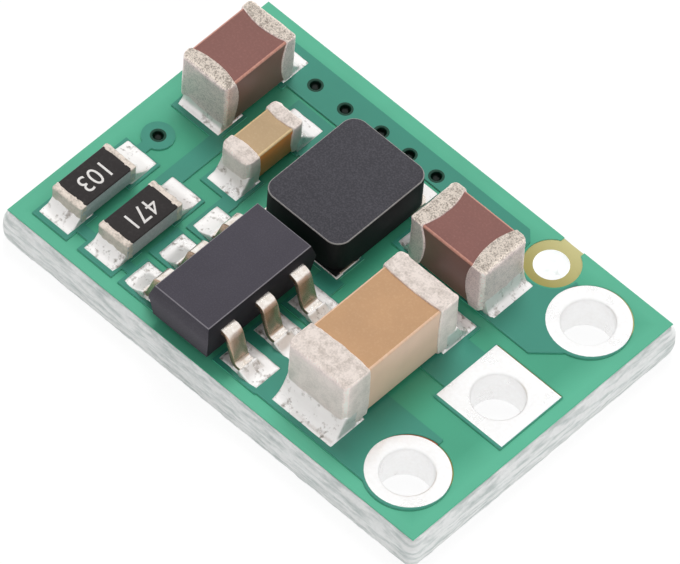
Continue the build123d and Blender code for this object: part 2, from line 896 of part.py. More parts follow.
def gull_wing(side, row, inner):
    """A lead from inside the package, out over a shoulder and down to a flat foot."""
    middle = (body_x, body_y + row * lead_pitch, 0)
    section = Plane(origin=middle, x_dir=(side, 0, 0), z_dir=(0, -side, 0))
    knee = package_width / 2 + lead_shoulder
    with BuildPart() as lead:
        with BuildSketch(section):
            with BuildLine() as path:
                FilletPolyline(
                    (inner, package_middle), (knee, package_middle),
                    (knee + lead_thickness / 3, foot_level), (lead_span / 2, foot_level),
                    radius=lead_bend_radius,
                )
            trace(path.line, line_width=lead_thickness)
        extrude(amount=lead_width / 2, both=True)
    return lead


lead_names = {
    (-1, 1): "boost", (-1, 0): "ground", (-1, -1): "feedback",
    (1, 1): "switch", (1, 0): "input", (1, -1): "enable",
}
lead_nets = {
    (-1, 1): nets["boost"], (-1, 0): nets["ground"], (-1, -1): nets["feedback"],
    (1, 1): nets["switch"], (1, 0): nets["input"], (1, -1): nets["input"],
}
leads = {}
for (side, row), name in lead_names.items():
    leads[side, row] = gull_wing(side, row, package_width / 2 - lead_embedded)

# The ground lead widens inside the package into the paddle under the die
with BuildPart() as ground_lead:
    add(gull_wing(-1, 0, 0).part)
    with Locations((body_x, body_y, package_middle)):
        Box(paddle_width, paddle_length, lead_thickness)
leads[-1, 0] = ground_lead
for key, name in lead_names.items():
    keep(leads[key], f"regulator_{name}_lead")

with BuildPart() as die:
    with Locations((body_x, body_y, package_middle + lead_thickness / 2)):
        Box(die_width, die_length, die_thickness, align=standing)
keep(die, "regulator_die")

with BuildPart() as package:
    with BuildSketch(Plane(origin=(body_x, body_y, package_middle))):
        Rectangle(package_width, package_length)
    extrude(amount=package_height / 2, taper=package_draft)
    with BuildSketch(Plane(origin=(body_x, body_y, package_middle), z_dir=(0, 0, -1))):
        Rectangle(package_width, package_length)
    extrude(amount=package_height / 2, taper=package_draft)
    add(die.part, mode=Mode.SUBTRACT)
    for lead in leads.values():
        add(lead.part, mode=Mode.SUBTRACT)
keep(package, "regulator_package")

# Solder under and round the six feet
with BuildPart() as regulator_solder:
    for (side, row), net in lead_nets.items():
        land = lead_land(side, row)
        foot_start = package_width / 2 + lead_shoulder
        with BuildSketch(Plane.XY.offset(copper_top)):
            open_land(land)
            add(net.sketch, mode=Mode.INTERSECT)
        extrude(amount=tin_thickness)
        with BuildSketch(Plane.XY.offset(copper_top)):
            foot_x = body_x + side * (foot_start + lead_span / 2) / 2
            with Locations((foot_x, body_y + row * lead_pitch)):
                Rectangle(
                    lead_span / 2 - foot_start + 2 * fillet_overrun,
                    lead_width + 2 * fillet_overrun,
                )
        extrude(amount=solder_gap + lead_thickness / 2, taper=foot_fillet_slope)
    for lead in leads.values():
        add(lead.part, mode=Mode.SUBTRACT)
keep(regulator_solder, "regulator_solder")

# Choke
choke_seat = choke.frame(seat_level, drifted=True)
winding_level = choke_height - winding_height - winding_cover



def add_turn(inset, mode=Mode.ADD):
    """The plan of the flat winding, or of its open middle, with its corners cut across."""
    with BuildSketch() as turn:
        Rectangle(
            choke_length - 2 * winding_margin - 2 * inset,
            choke_width - 2 * winding_margin - 2 * inset,
        )
        chamfer(turn.vertices(), winding_corner - inset)
    add(turn.sketch, mode=mode)


with BuildPart() as winding:
    with BuildSketch(choke_seat.offset(winding_level)):
        add_turn(0.0)
        add_turn(winding_radial, Mode.SUBTRACT)
    extrude(amount=winding_height)
    leg_x = choke_length / 2 - winding_margin - winding_radial / 2
    with BuildSketch(choke_seat.offset(choke_terminal_thickness)):
        with Locations((-leg_x, 0), (leg_x, 0)):
            Rectangle(winding_radial, winding_leg_width)
    extrude(amount=winding_level - choke_terminal_thickness)
keep(winding, "choke_winding")

choke_ends = []
for side, place in ((-1, "first"), (1, "second")):
    with BuildPart() as terminal:
        with BuildSketch(choke_seat) as terminal_plan:
            with Locations((side * (choke_length - choke_terminal_length) / 2, 0)):
                Rectangle(choke_terminal_length, choke_width)
            chamfer(terminal_plan.vertices(), choke_terminal_corner)
        extrude(amount=choke_terminal_thickness)
    keep(terminal, f"choke_{place}_terminal")
    choke_ends.append(terminal)

with BuildPart() as choke_body:
    with BuildSketch(choke_seat):
        RectangleRounded(choke_length, choke_width, choke_corner_radius)
    extrude(amount=choke_height)
    chamfer(choke_body.faces().sort_by(Axis.Z)[-1].edges(), choke_edge_chamfer)
    for terminal in choke_ends:
        add(terminal.part, mode=Mode.SUBTRACT)
    add(winding.part, mode=Mode.SUBTRACT)
keep(choke_body, "choke_body")

with BuildPart() as choke_solder:
    for side, net in ((-1, nets["switch"]), (1, nets["output"])):
        with BuildSketch(Plane.XY.offset(copper_top)):
            open_land(choke.land(side))
            add(net.sketch, mode=Mode.INTERSECT)
        extrude(amount=solder_gap)
    for terminal in choke_ends:
        add(terminal.part, mode=Mode.SUBTRACT)
keep(choke_solder, "choke_solder")
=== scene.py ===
import logging
import math
from dataclasses import dataclass
from enum import Enum
from typing import Callable, Optional

import bmesh
import bpy
from mathutils import Matrix, Vector


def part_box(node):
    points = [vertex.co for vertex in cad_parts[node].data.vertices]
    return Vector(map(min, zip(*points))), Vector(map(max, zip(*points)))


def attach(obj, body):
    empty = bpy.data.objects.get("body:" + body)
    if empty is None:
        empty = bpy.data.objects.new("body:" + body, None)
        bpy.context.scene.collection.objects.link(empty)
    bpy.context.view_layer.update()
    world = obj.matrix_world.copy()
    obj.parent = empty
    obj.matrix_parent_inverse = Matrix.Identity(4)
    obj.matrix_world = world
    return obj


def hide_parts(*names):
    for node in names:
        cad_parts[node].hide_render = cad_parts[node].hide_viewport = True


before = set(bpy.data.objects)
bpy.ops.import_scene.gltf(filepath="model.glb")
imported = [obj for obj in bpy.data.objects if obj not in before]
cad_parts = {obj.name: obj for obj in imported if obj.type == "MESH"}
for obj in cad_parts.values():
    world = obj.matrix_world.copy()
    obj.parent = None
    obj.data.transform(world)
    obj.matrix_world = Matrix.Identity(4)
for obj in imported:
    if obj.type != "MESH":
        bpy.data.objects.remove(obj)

logging.basicConfig(level=logging.INFO, format="%(name)s: %(message)s")
log = logging.getLogger("regulator_board")

Piece = bpy.types.Object
Socket = bpy.types.NodeSocket
Test = Callable[[Vector, Vector], bool]

# Pieces are modelled in millimetres, as the board's drawing is, and scaled when handed over.
MM = 0.001
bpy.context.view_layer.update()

# Levels of the board's layers, from its underside
COPPER_TOP = 0.88
BOARD_TOP = 0.90
SEAT_LEVEL = 0.93
MASK_SHIFT_Y = 0.045

# Tin on a land: how far its flat reaches past the mask's edge and its crown stays inside it
TIN_RIM = 0.02
TIN_ROOT = COPPER_TOP - 0.06
TIN_FLAT = BOARD_TOP - 0.008
TIN_CROWN = BOARD_TOP + 0.014

# Molten solder: grain of its skin, rounds of smoothing, and the width and depth of its dents
SOLDER_GRAIN = 0.022
SOLDER_ROUNDS = 12
SOLDER_DENTS = (0.3, 0.02)

# What counts as the same place, and when an edge runs along an axis or across it
NEAR = 0.001
ALONG = 0.9
ACROSS = 0.1
UP = Vector((0, 0, 1))


class Kind(Enum):
    """What choose() selects."""

    VERTEX = "VERT"
    EDGE = "EDGE"
    FACE = "FACE"


class Cut(Enum):
    """How one solid is combined with another."""

    AWAY = "DIFFERENCE"
    KEEP = "INTERSECT"


# Modelling helpers

def pick(*pieces: Piece) -> None:
    """Selects only these objects and makes the first one active.

    Args:
        pieces: The objects to select.
    """
    bpy.ops.object.select_all(action="DESELECT")
    for piece in pieces:
        piece.select_set(True)
    bpy.context.view_layer.objects.active = pieces[0]


def settle(piece: Optional[Piece] = None) -> Piece:
    """Moves an object's place, turn and size into its mesh.

    Args:
        piece: The object that was moved, or none for the one that was just added.

    Returns:
        The same object.
    """
    piece = piece or bpy.context.active_object
    pick(piece)
    bpy.ops.object.transform_apply(location=True, rotation=True, scale=True)
    return piece


def add_block(low: Vector, high: Vector) -> Piece:
    """Adds a block between its lowest and its highest corner.

    Args:
        low: The lowest corner.
        high: The highest corner.

    Returns:
        The block, with its place in its mesh.
    """
    low, high = Vector(low), Vector(high)
    bpy.ops.mesh.primitive_cube_add(size=1.0, location=(low + high) / 2, scale=high - low)
    return settle()


def add_ball(middle: Vector, radius: float) -> Piece:
    """Adds a ball, used as a cutter."""
    bpy.ops.mesh.primitive_uv_sphere_add(
        radius=radius, location=middle, segments=96, ring_count=48
    )
    return settle()


def add_post(middle: Vector, radius: float, depth: float) -> Piece:
    """Adds an upright round post."""
    bpy.ops.mesh.primitive_cylinder_add(vertices=72, radius=radius, depth=depth, location=middle)
    return settle()


def duplicate(piece: Piece) -> Piece:
    """Copies an object together with its mesh.

    Args:
        piece: The object to copy.

    Returns:
        The copy, linked to the scene.
    """
    copy = piece.copy()
    copy.data = piece.data.copy()
    bpy.context.collection.objects.link(copy)
    return copy


def runs_along(axis: Vector, share: float = ALONG) -> Test:
    """Makes a test that edges along an axis pass."""
    return lambda _, direction: abs(direction.dot(axis)) > share


def lies_at(level: float) -> Test:
    """Makes a test that everything at one level passes."""
    return lambda middle, _: abs(middle.z - level) < NEAR


class Shaping:
    """Edit mode on one object, entered and left with a with statement."""

    def __init__(self, piece: Piece) -> None:
        """Takes the object to shape."""
        self.piece = piece

    def __enter__(self) -> "Shaping":
        """Starts edit mode."""
        pick(self.piece)
        bpy.ops.object.mode_set(mode="EDIT")
        return self

    def __exit__(self, *trouble: object) -> None:
        """Ends edit mode."""
        bpy.ops.object.mode_set(mode="OBJECT")

    def choose(self, kind: Kind, test: Test) -> None:
        """Selects what passes a test of its middle and its direction.

        Args:
            kind: Vertices, edges or faces.
            test: Takes the middle, and the normal or the edge's direction.
        """
        bpy.ops.mesh.select_mode(type=kind.value)
        bpy.ops.mesh.select_all(action="DESELECT")
        shape = bmesh.from_edit_mesh(self.piece.data)
        if kind is Kind.FACE:
            for face in shape.faces:
                face.select_set(test(face.calc_center_median(), face.normal))
        elif kind is Kind.EDGE:
            for edge in shape.edges:
                start, end = (vertex.co for vertex in edge.verts)
                edge.select_set(test((start + end) / 2, (end - start).normalized()))
        else:
            for vertex in shape.verts:
                vertex.select_set(test(vertex.co, vertex.normal))
        bmesh.update_edit_mesh(self.piece.data)

    def everything(self) -> None:
        """Selects the whole mesh."""
        bpy.ops.mesh.select_all(action="SELECT")

    def slice(self, point: Vector, normal: Vector) -> None:
        """Adds a loop of edges where a plane meets the whole mesh.

        Args:
            point: A point of the plane.
            normal: The plane's normal.
        """
        self.everything()
        bpy.ops.mesh.bisect(plane_co=point, plane_no=normal)

    def bevel(self, width: float, steps: int, material: int = -1) -> None:
        """Rounds the selected edges.

        Args:
            width: How far from the edge the round starts.
            steps: Faces across the round.
            material: Number of the material that the new faces get, or -1 for their own.
        """
        bpy.ops.mesh.bevel(
            offset=width, segments=steps, affect="EDGES", profile=0.5, material=material
        )

    def resize(self, shares: tuple[float, float, float], centre: Vector) -> None:
        """Shrinks the selection towards a point."""
        bpy.ops.transform.resize(value=shares, center_override=centre)

    def lift(self, rise: float) -> None:
        """Moves the selection up or down."""
        bpy.ops.transform.translate(value=(0, 0, rise))

    def merge_doubles(self) -> None:
        """Joins the points that lie on each other."""
        self.everything()
        bpy.ops.mesh.remove_doubles(threshold=0.0005)

    def face_outwards(self) -> None:
        """Turns every face outwards, once doubles are merged."""
        self.merge_doubles()
        bpy.ops.mesh.normals_make_consistent(inside=False)


def use_modifier(piece: Piece, kind: str, **settings: object) -> None:
    """Adds a modifier and applies it.

    Args:
        piece: The object it works on.
        kind: The modifier's type.
        settings: Its settings by name.
    """
    pick(piece)
    modifier = piece.modifiers.new(kind.title(), kind)
    for name, value in settings.items():
        setattr(modifier, name, value)
    bpy.ops.object.modifier_apply(modifier=modifier.name)


def combine(piece: Piece, tool: Piece, how: Cut) -> None:
    """Cuts a solid by another and removes the tool.

    Args:
        piece: The solid that stays.
        tool: The solid that is used up.
        how: Cut away, or keep what both share.
    """
    use_modifier(piece, "BOOLEAN", operation=how.value, object=tool, solver="EXACT")
    bpy.data.objects.remove(tool)


def unite(pieces: list[Piece]) -> Piece:
    """Makes several objects one, without changing their faces; the first stays."""
    pick(*pieces)
    bpy.ops.object.join()
    return bpy.context.active_object


def roughen(piece: Piece, *layers: tuple[float, float]) -> None:
    """Moves the surface in and out by soft clouds.

    Args:
        piece: A finely divided mesh.
        layers: Width of each layer's clouds, and how far its highest and its deepest point lie
            apart, both in millimetres.
    """
    for size, depth in layers:
        clouds = bpy.data.textures.new("clouds", "CLOUDS")
        clouds.noise_scale = size
        clouds.noise_depth = 1
        use_modifier(
            piece, "DISPLACE", texture=clouds, texture_coords="LOCAL", strength=depth,
            mid_level=0.5,
        )
        bpy.data.textures.remove(clouds)


def melt(piece: Piece, voxel: float, rounds: int) -> None:
    """Merges overlapping lumps into one skin and lets its corners run together.

    Args:
        piece: Closed lumps in one object.
        voxel: Grain of the new skin in millimetres.
        rounds: How often it is smoothed.
    """
    use_modifier(piece, "REMESH", mode="VOXEL", voxel_size=voxel, adaptivity=0.0)
    use_modifier(piece, "SMOOTH", factor=0.5, iterations=rounds)


def give_two(piece: Piece, finish: "Finish", edge_highlight_finish: "Finish") -> None:
    """Gives a block two finishes before its edges are rounded, the second one, painted paler as a
    highlight, for the rounds.
    """
    for worn in (finish, edge_highlight_finish):
        piece.data.materials.append(worn.material())


def hand_over(
    piece: Piece,
    name: str,
    finish: "Finish",
    stands_for: tuple[str, ...] = (),
    smooth_below: float = 40.0,
) -> None:
    """Scales a finished piece to metres, dresses it and ties it to the board.

    Args:
        piece: The finished piece, in millimetres.
        name: Its name.
        finish: Its finish, or the first of the two that it has already.
        stands_for: The CAD nodes that it replaces.
        smooth_below: Edges that turn less than these degrees are shaded smooth.
    """
    piece.scale = (MM, MM, MM)
    settle(piece)
    bpy.ops.object.shade_smooth_by_angle(angle=math.radians(smooth_below))
    piece.name = name
    piece.data.name = name
    if piece.data.materials:
        piece.data.materials[0] = finish.material()
    else:
        piece.data.materials.append(finish.material())
    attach(piece, "root")
    if stands_for:
        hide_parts(*stands_for)
    log.info("%s: %d faces", name, len(piece.data.polygons))


def dress(finish: "Finish", *names: str) -> None:
    """Gives CAD nodes their finish and leaves their shape alone.

    Args:
        finish: Their finish.
        names: The nodes.
    """
    for name in names:
        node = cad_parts[name]
        node.data.materials.clear()
        node.data.materials.append(finish.material())
        log.info("%s: kept, %s", name, finish.name)


# Materials

def colour(code: str) -> tuple[float, float, float, float]:
    """Turns an sRGB hex colour into linear values.

    Args:
        code: Six hex digits after a hash.

    Returns:
        Linear red, green, blue and an alpha of 1.
    """
    values = [int(code[place:place + 2], 16) / 255 for place in (1, 3, 5)]
    linear = [v / 12.92 if v <= 0.04045 else ((v + 0.055) / 1.055) ** 2.4 for v in values]
    return (linear[0], linear[1], linear[2], 1.0)


def fill(tree: bpy.types.NodeTree, node: bpy.types.Node, inputs: dict) -> None:
    """Sets a node's sockets.

    Args:
        tree: The nodes it belongs to.
        node: The node.
        inputs: Sockets by name or number, each with a value or another node's output.
    """
    for name, value in inputs.items():
        if isinstance(value, Socket):
            tree.links.new(value, node.inputs[name])
        else:
            node.inputs[name].default_value = value


def add_node(
    tree: bpy.types.NodeTree, kind: str, inputs: Optional[dict] = None, **settings: object
) -> bpy.types.Node:
    """Adds a node with its settings and its links.

    Args:
        tree: The nodes it joins.
        kind: Its type, without the words in front.
        inputs: Sockets by name or number, each with a value or another node's output.
        settings: Values set on the node itself.

    Returns:
        The node.
    """
    node = tree.nodes.new("ShaderNode" + kind)
    for name, value in settings.items():
        setattr(node, name, value)
    fill(tree, node, inputs or {})
    return node


class Brush:
    """Adds nodes to one tree; each method gives the output that the next one takes."""

    def __init__(self, tree: bpy.types.NodeTree) -> None:
        """Clears the tree and takes it."""
        tree.nodes.clear()
        self.tree = tree

    def spread(
        self, value: Socket, low: float, high: float, start: float = 0.0, end: float = 1.0
    ) -> Socket:
        """Maps a range of values to another.

        Args:
            value: The value.
            low: Becomes the start, like everything beyond it.
            high: Becomes the end, like everything beyond it.
            start: Result at low.
            end: Result at high.

        Returns:
            The mapped value.
        """
        inputs = {
            "Value": value, "From Min": low, "From Max": high, "To Min": start, "To Max": end
        }
        return add_node(self.tree, "MapRange", inputs).outputs[0]

    def between(self, share: Socket, start: float, end: float) -> Socket:
        """Goes from the start to the end as a share goes from 0 to 1."""
        return self.spread(share, 0.0, 1.0, start, end)

    def number(self, operation: str, *values: object) -> Socket:
        """Does a sum with numbers."""
        return add_node(
            self.tree, "Math", dict(enumerate(values)), operation=operation
        ).outputs[0]

    def vector(self, operation: str, *values: object) -> Socket:
        """Does a sum with vectors."""
        node = add_node(self.tree, "VectorMath", dict(enumerate(values)), operation=operation)
        return node.outputs["Value" if operation == "DOT_PRODUCT" else "Vector"]

    def scale(self, vector: Socket, factor: object) -> Socket:
        """Multiplies a vector or a colour by a number."""
        inputs = {0: vector, "Scale": factor}
        return add_node(self.tree, "VectorMath", inputs, operation="SCALE").outputs[0]

    def parts(self, vector: Socket) -> list[Socket]:
        """Splits a vector into X, Y and Z."""
        return list(add_node(self.tree, "SeparateXYZ", {0: vector}).outputs)

    def normal(self) -> Socket:
        """Gives the direction that the surface faces."""
        return add_node(self.tree, "NewGeometry").outputs["Normal"]

    def mix(self, share: Socket, first: object, second: object) -> Socket:
        """Mixes two colours, hex codes or outputs; a share of 1 is all the second."""
        shades = [colour(shade) if isinstance(shade, str) else shade for shade in (first, second)]
        inputs = {0: share, 6: shades[0], 7: shades[1]}
        return add_node(self.tree, "Mix", inputs, data_type="RGBA").outputs[2]

    def ramp(self, value: Socket, places: tuple[float, float], *shades: str) -> Socket:
        """Turns a value into a colour between two.

        Args:
            value: The value.
            places: Where the first and the second colour stand.
            shades: Their hex codes.

        Returns:
            The colour.
        """
        node = add_node(self.tree, "ValToRGB", {"Fac": value})
        for stop, place, shade in zip(node.color_ramp.elements, places, shades):
            stop.position = place
            stop.color = colour(shade)
        return node.outputs["Color"]

    def by_ray(self, lighting: float, seen: float) -> Socket:
        """Tells rays that only light the board from those that end in the picture.

        Args:
            lighting: Result for rays that light it.
            seen: Result for rays seen by the camera, in a mirror or through glass.

        Returns:
            The result.
        """
        path = add_node(self.tree, "LightPath").outputs
        shown = self.number("MAXIMUM", path["Is Camera Ray"], path["Is Transmission Ray"])
        shown = self.number("MAXIMUM", shown, path["Is Glossy Ray"])
        return self.between(shown, lighting, seen)


class SurfaceBrush(Brush):
    """A brush on one Principled material, which reads the piece's own place in millimetres."""

    def __init__(self, tree: bpy.types.NodeTree) -> None:
        """Adds the shader and finds the place."""
        super().__init__(tree)
        self.shader = add_node(tree, "BsdfPrincipled")
        add_node(tree, "OutputMaterial", {"Surface": self.shader.outputs["BSDF"]})
        self.place = self.scale(add_node(tree, "TexCoord").outputs["Object"], 1.0 / MM)

    def finish(self, **sockets: object) -> None:
        """Sets the shader's sockets; an underscore stands for a space."""
        fill(
            self.tree, self.shader,
            {name.replace("_", " "): value for name, value in sockets.items()},
        )

    def noise(self, size: float, detail: float = 2.0, place: Optional[Socket] = None) -> Socket:
        """Gives cloudy noise whose patches have a real size.

        Args:
            size: Width of a patch in millimetres.
            detail: How many finer layers it has.
            place: Where it is read, or none for the point on the piece.

        Returns:
            The noise from 0 to 1.
        """
        inputs = {
            "Vector": place or self.place, "Scale": 1.0 / size, "Detail": detail,
            "Roughness": 0.55,
        }
        return add_node(self.tree, "TexNoise", inputs).outputs["Fac"]

    def relief(self, height: Socket, depth: float, **base: Socket) -> None:
        """Links a height pattern to the shader's normal.

        Args:
            height: The pattern from 0 to 1.
            depth: Its real depth in millimetres.
            base: Normal, where the relief lies on another direction than the surface's.
        """
        inputs = {"Height": height, "Distance": depth * MM, "Strength": 1.0, **base}
        self.finish(Normal=add_node(self.tree, "Bump", inputs).outputs["Normal"])


@dataclass(frozen=True)
class Finish:
    """A finish of one record slot."""

    name: str
    slot: str

    def material(self) -> bpy.types.Material:
        """Makes the material once and gives it again afterwards.

        Returns:
            The Blender material.
        """
        if self.name not in bpy.data.materials:
            made = bpy.data.materials.new(self.name)
            made.use_nodes = True
            self.paint(SurfaceBrush(made.node_tree))
        return bpy.data.materials[self.name]

    def paint(self, brush: SurfaceBrush) -> None:
        """Sets the shader; each finish has its own way."""
        raise NotImplementedError


@dataclass(frozen=True)
class SolderMaskInk(Finish):
    """Liquid photo-imaged epoxy ink, poured as a thin curtain and cured.

    It is a smooth semi-gloss skin, darker and bluer where foil lies under it and bright green
    over bare laminate, with a slight orange peel. It flows over the foil's edges. Near the
    board's edge it is painted brighter as painted light, and steep steps are painted paler,
    partly for thin ink and partly as painted light against their shade.
    """

    over_foil: str = "#368c78"
    over_laminate: str = "#40a07f"
    edge_lit_ink: str = "#57b694"
    flow: float = 8.0
    sheen: float = 0.5
    painted_step_paling: float = 2.6

    # Levels of the ink over laminate and over foil, on top and on the underside
    upper_step = (0.866, 0.898)
    lower_step = (0.012, 0.004)
    # How much longer than wide the board is, each way from its middle, and where it has no foil
    longer = 1.8
    foil_ends = (2.9, 3.45)

    def paint(self, brush: SurfaceBrush) -> None:
        """Colours the ink by the level of what lies under it, with painted light near the board's
        edge and on its steps.

        Args:
            brush: Adds the material's nodes.
        """
        x, y, z = brush.parts(brush.place)
        raised = brush.spread(z, *self.upper_step)
        sunk = brush.spread(z, *self.lower_step)
        foil = brush.number("MAXIMUM", raised, sunk)
        # Near the board's edge neither side has foil, and the ink there is painted brighter, as
        # painted light that comes through the board.
        ends = brush.number("SUBTRACT", brush.number("ABSOLUTE", x), self.longer)
        outmost = brush.number("MAXIMUM", brush.number("ABSOLUTE", y), ends)
        rim = brush.spread(outmost, *self.foil_ends)
        bare = brush.mix(rim, self.over_laminate, self.edge_lit_ink)
        under = brush.mix(foil, bare, self.over_foil)
        cloud = brush.between(brush.noise(1.6), 0.86, 1.14)
        # The ink is thin where it runs over a foil's edge, and steep faces there are painted
        # paler, partly for the thin ink and partly as painted light against their shade.
        normal = brush.normal()
        step_paling = brush.spread(brush.parts(normal)[2], 0.0, 0.7, self.painted_step_paling, 1.0)
        brush.finish(
            Base_Color=brush.scale(under, brush.number("MULTIPLY", cloud, step_paling)),
            Roughness=0.30, IOR=1.52, Specular_IOR_Level=self.sheen,
        )
        # The ink's slope over a foil's edge is far softer than the step that carries it.
        outward = brush.number("MULTIPLY_ADD", z, self.flow, -0.45 * self.flow)
        lift = add_node(brush.tree, "CombineXYZ", {"Z": outward}).outputs[0]
        soft = brush.vector("NORMALIZE", brush.vector("ADD", normal, lift))
        brush.relief(brush.noise(0.35, 3.0), 0.004, Normal=soft)


@dataclass(frozen=True)
class GlassEpoxy(Finish):
    """Woven glass set in epoxy, pressed in plies and snapped out along V-grooves.

    The broken side is pale grey with streaks of torn glass along the plies, with a painted glow; a
    bare face is olive.
    """

    side: str = "#f8faf9"
    streak: str = "#ccd4d2"
    face: Optional[str] = None
    glow: float = 0.02

    # Where the side ends and the face begins, and where the face pales towards the board's edge
    face_level = (0.843, 0.8445)
    pale_reach = (2.3, 3.6)
    pale_face = "#cdc68c"
    # A ply is about 0.18 mm thick and its torn bundles run on for half a millimetre.
    plies = (1.6, 1.6, 9.0)

    def paint(self, brush: SurfaceBrush) -> None:
        """Draws the plies along the side and the bare resin on the face.

        Args:
            brush: Adds the material's nodes.
        """
        inputs = {"Vector": brush.place, "Scale": self.plies}
        stretched = add_node(brush.tree, "Mapping", inputs).outputs[0]
        plies = brush.noise(1.0, 4.0, stretched)
        streaks = brush.ramp(plies, (0.36, 0.56), self.streak, self.side)
        shown = brush.scale(streaks, brush.between(brush.noise(0.07), 0.90, 1.10))
        glow = self.glow
        if self.face:
            _, y, z = brush.parts(brush.place)
            top = brush.spread(z, *self.face_level)
            resin = brush.mix(brush.spread(y, *self.pale_reach), self.face, self.pale_face)
            shown = brush.mix(top, shown, resin)
            glow = brush.between(top, self.glow, 0.0)
        # A painted glow: the sides emit a little light of their own, standing for light that
        # entered the thin board elsewhere and leaves through its sides.
        brush.finish(
            Base_Color=shown, Emission_Color=colour("#fafcfb"), Emission_Strength=glow,
            Roughness=0.62, IOR=1.5,
        )
        brush.relief(plies, 0.02)


@dataclass(frozen=True)
class Metal(Finish):
    """A plated or reflowed metal with patches of two shades, fine grains and a soft relief."""

    light: str
    dark: str
    patch: float
    grain: float
    contrast: tuple[float, float]
    roughness: tuple[float, float]
    metallic: float
    depth: float
    steep: Optional[str] = None
    share: float = 0.55
    painted_edge_highlight: float = 0.0
    fineness: float = 0.5

    # Upward part of the normal where a face starts to count as steep and where it is
    steepness = (0.8, 0.25)
    # The squares of a normal's parts, squared and added, fall from 1 on a flat to a half on an
    # edge, where the tin is painted brighter as a highlight.
    edge_signs = (0.82, 0.56)

    def paint(self, brush: SurfaceBrush) -> None:
        """Mixes the two shades by patches broken up with grains; steep faces may take a painted
        tint for light and reflection.

        Args:
            brush: Adds the material's nodes.
        """
        patches = brush.noise(self.patch, 3.0)
        inputs = {0: self.fineness, 2: patches, 3: brush.noise(self.grain)}
        blend = add_node(brush.tree, "Mix", inputs, data_type="FLOAT").outputs[0]
        shown = brush.ramp(blend, self.contrast, self.dark, self.light)
        # Steep faces take a painted tint for light and reflection, and edges a painted highlight.
        if self.steep:
            normal = brush.normal()
            level = brush.spread(brush.parts(normal)[2], *self.steepness, 0.0, self.share)
            shown = brush.mix(level, shown, self.steep)
            squares = brush.vector("MULTIPLY", normal, normal)
            flat = brush.vector("DOT_PRODUCT", squares, squares)
            edges = brush.spread(flat, *self.edge_signs, 1.0, 1.0 + self.painted_edge_highlight)
            shown = brush.scale(shown, edges)
        brush.finish(
            Base_Color=shown, Roughness=brush.spread(patches, 0.3, 0.7, *self.roughness),
            Metallic=self.metallic,
        )
        brush.relief(blend, self.depth)


@dataclass(frozen=True)
class Ceramic(Finish):
    """A fired or moulded body with a fine grain, a few specks and a soft sheen.

    Its upper face may be painted paler than its sides, as painted light and shade.
    """

    base: str
    speck: str
    roughness: float
    grain: float = 0.05
    speckle: tuple[float, float] = (0.45, 0.7)
    ior: float = 1.6
    depth: float = 0.003
    side: Optional[str] = None
    sheen: float = 0.5
    towards: tuple[float, float, float] = (0.0, 0.0, 1.0)

    # Share of the normal that points the way painted as the lit face, on a side and on that face
    painted_light_facing = (0.4, 0.62)

    def paint(self, brush: SurfaceBrush) -> None:
        """Scatters pale specks over the base shade.

        Args:
            brush: Adds the material's nodes.
        """
        grains = brush.noise(self.grain)
        shown = brush.ramp(grains, self.speckle, self.base, self.speck)
        # Faces turned from that way take the side colour, as painted light and shade.
        if self.side:
            facing = brush.vector("DOT_PRODUCT", brush.normal(), self.towards)
            shown = brush.mix(brush.spread(facing, *self.painted_light_facing), self.side, shown)
        tone = brush.between(brush.noise(0.6), 0.9, 1.1)
        brush.finish(
            Base_Color=brush.scale(shown, tone), Roughness=self.roughness, IOR=self.ior,
            Specular_IOR_Level=self.sheen,
        )
        brush.relief(grains, self.depth)


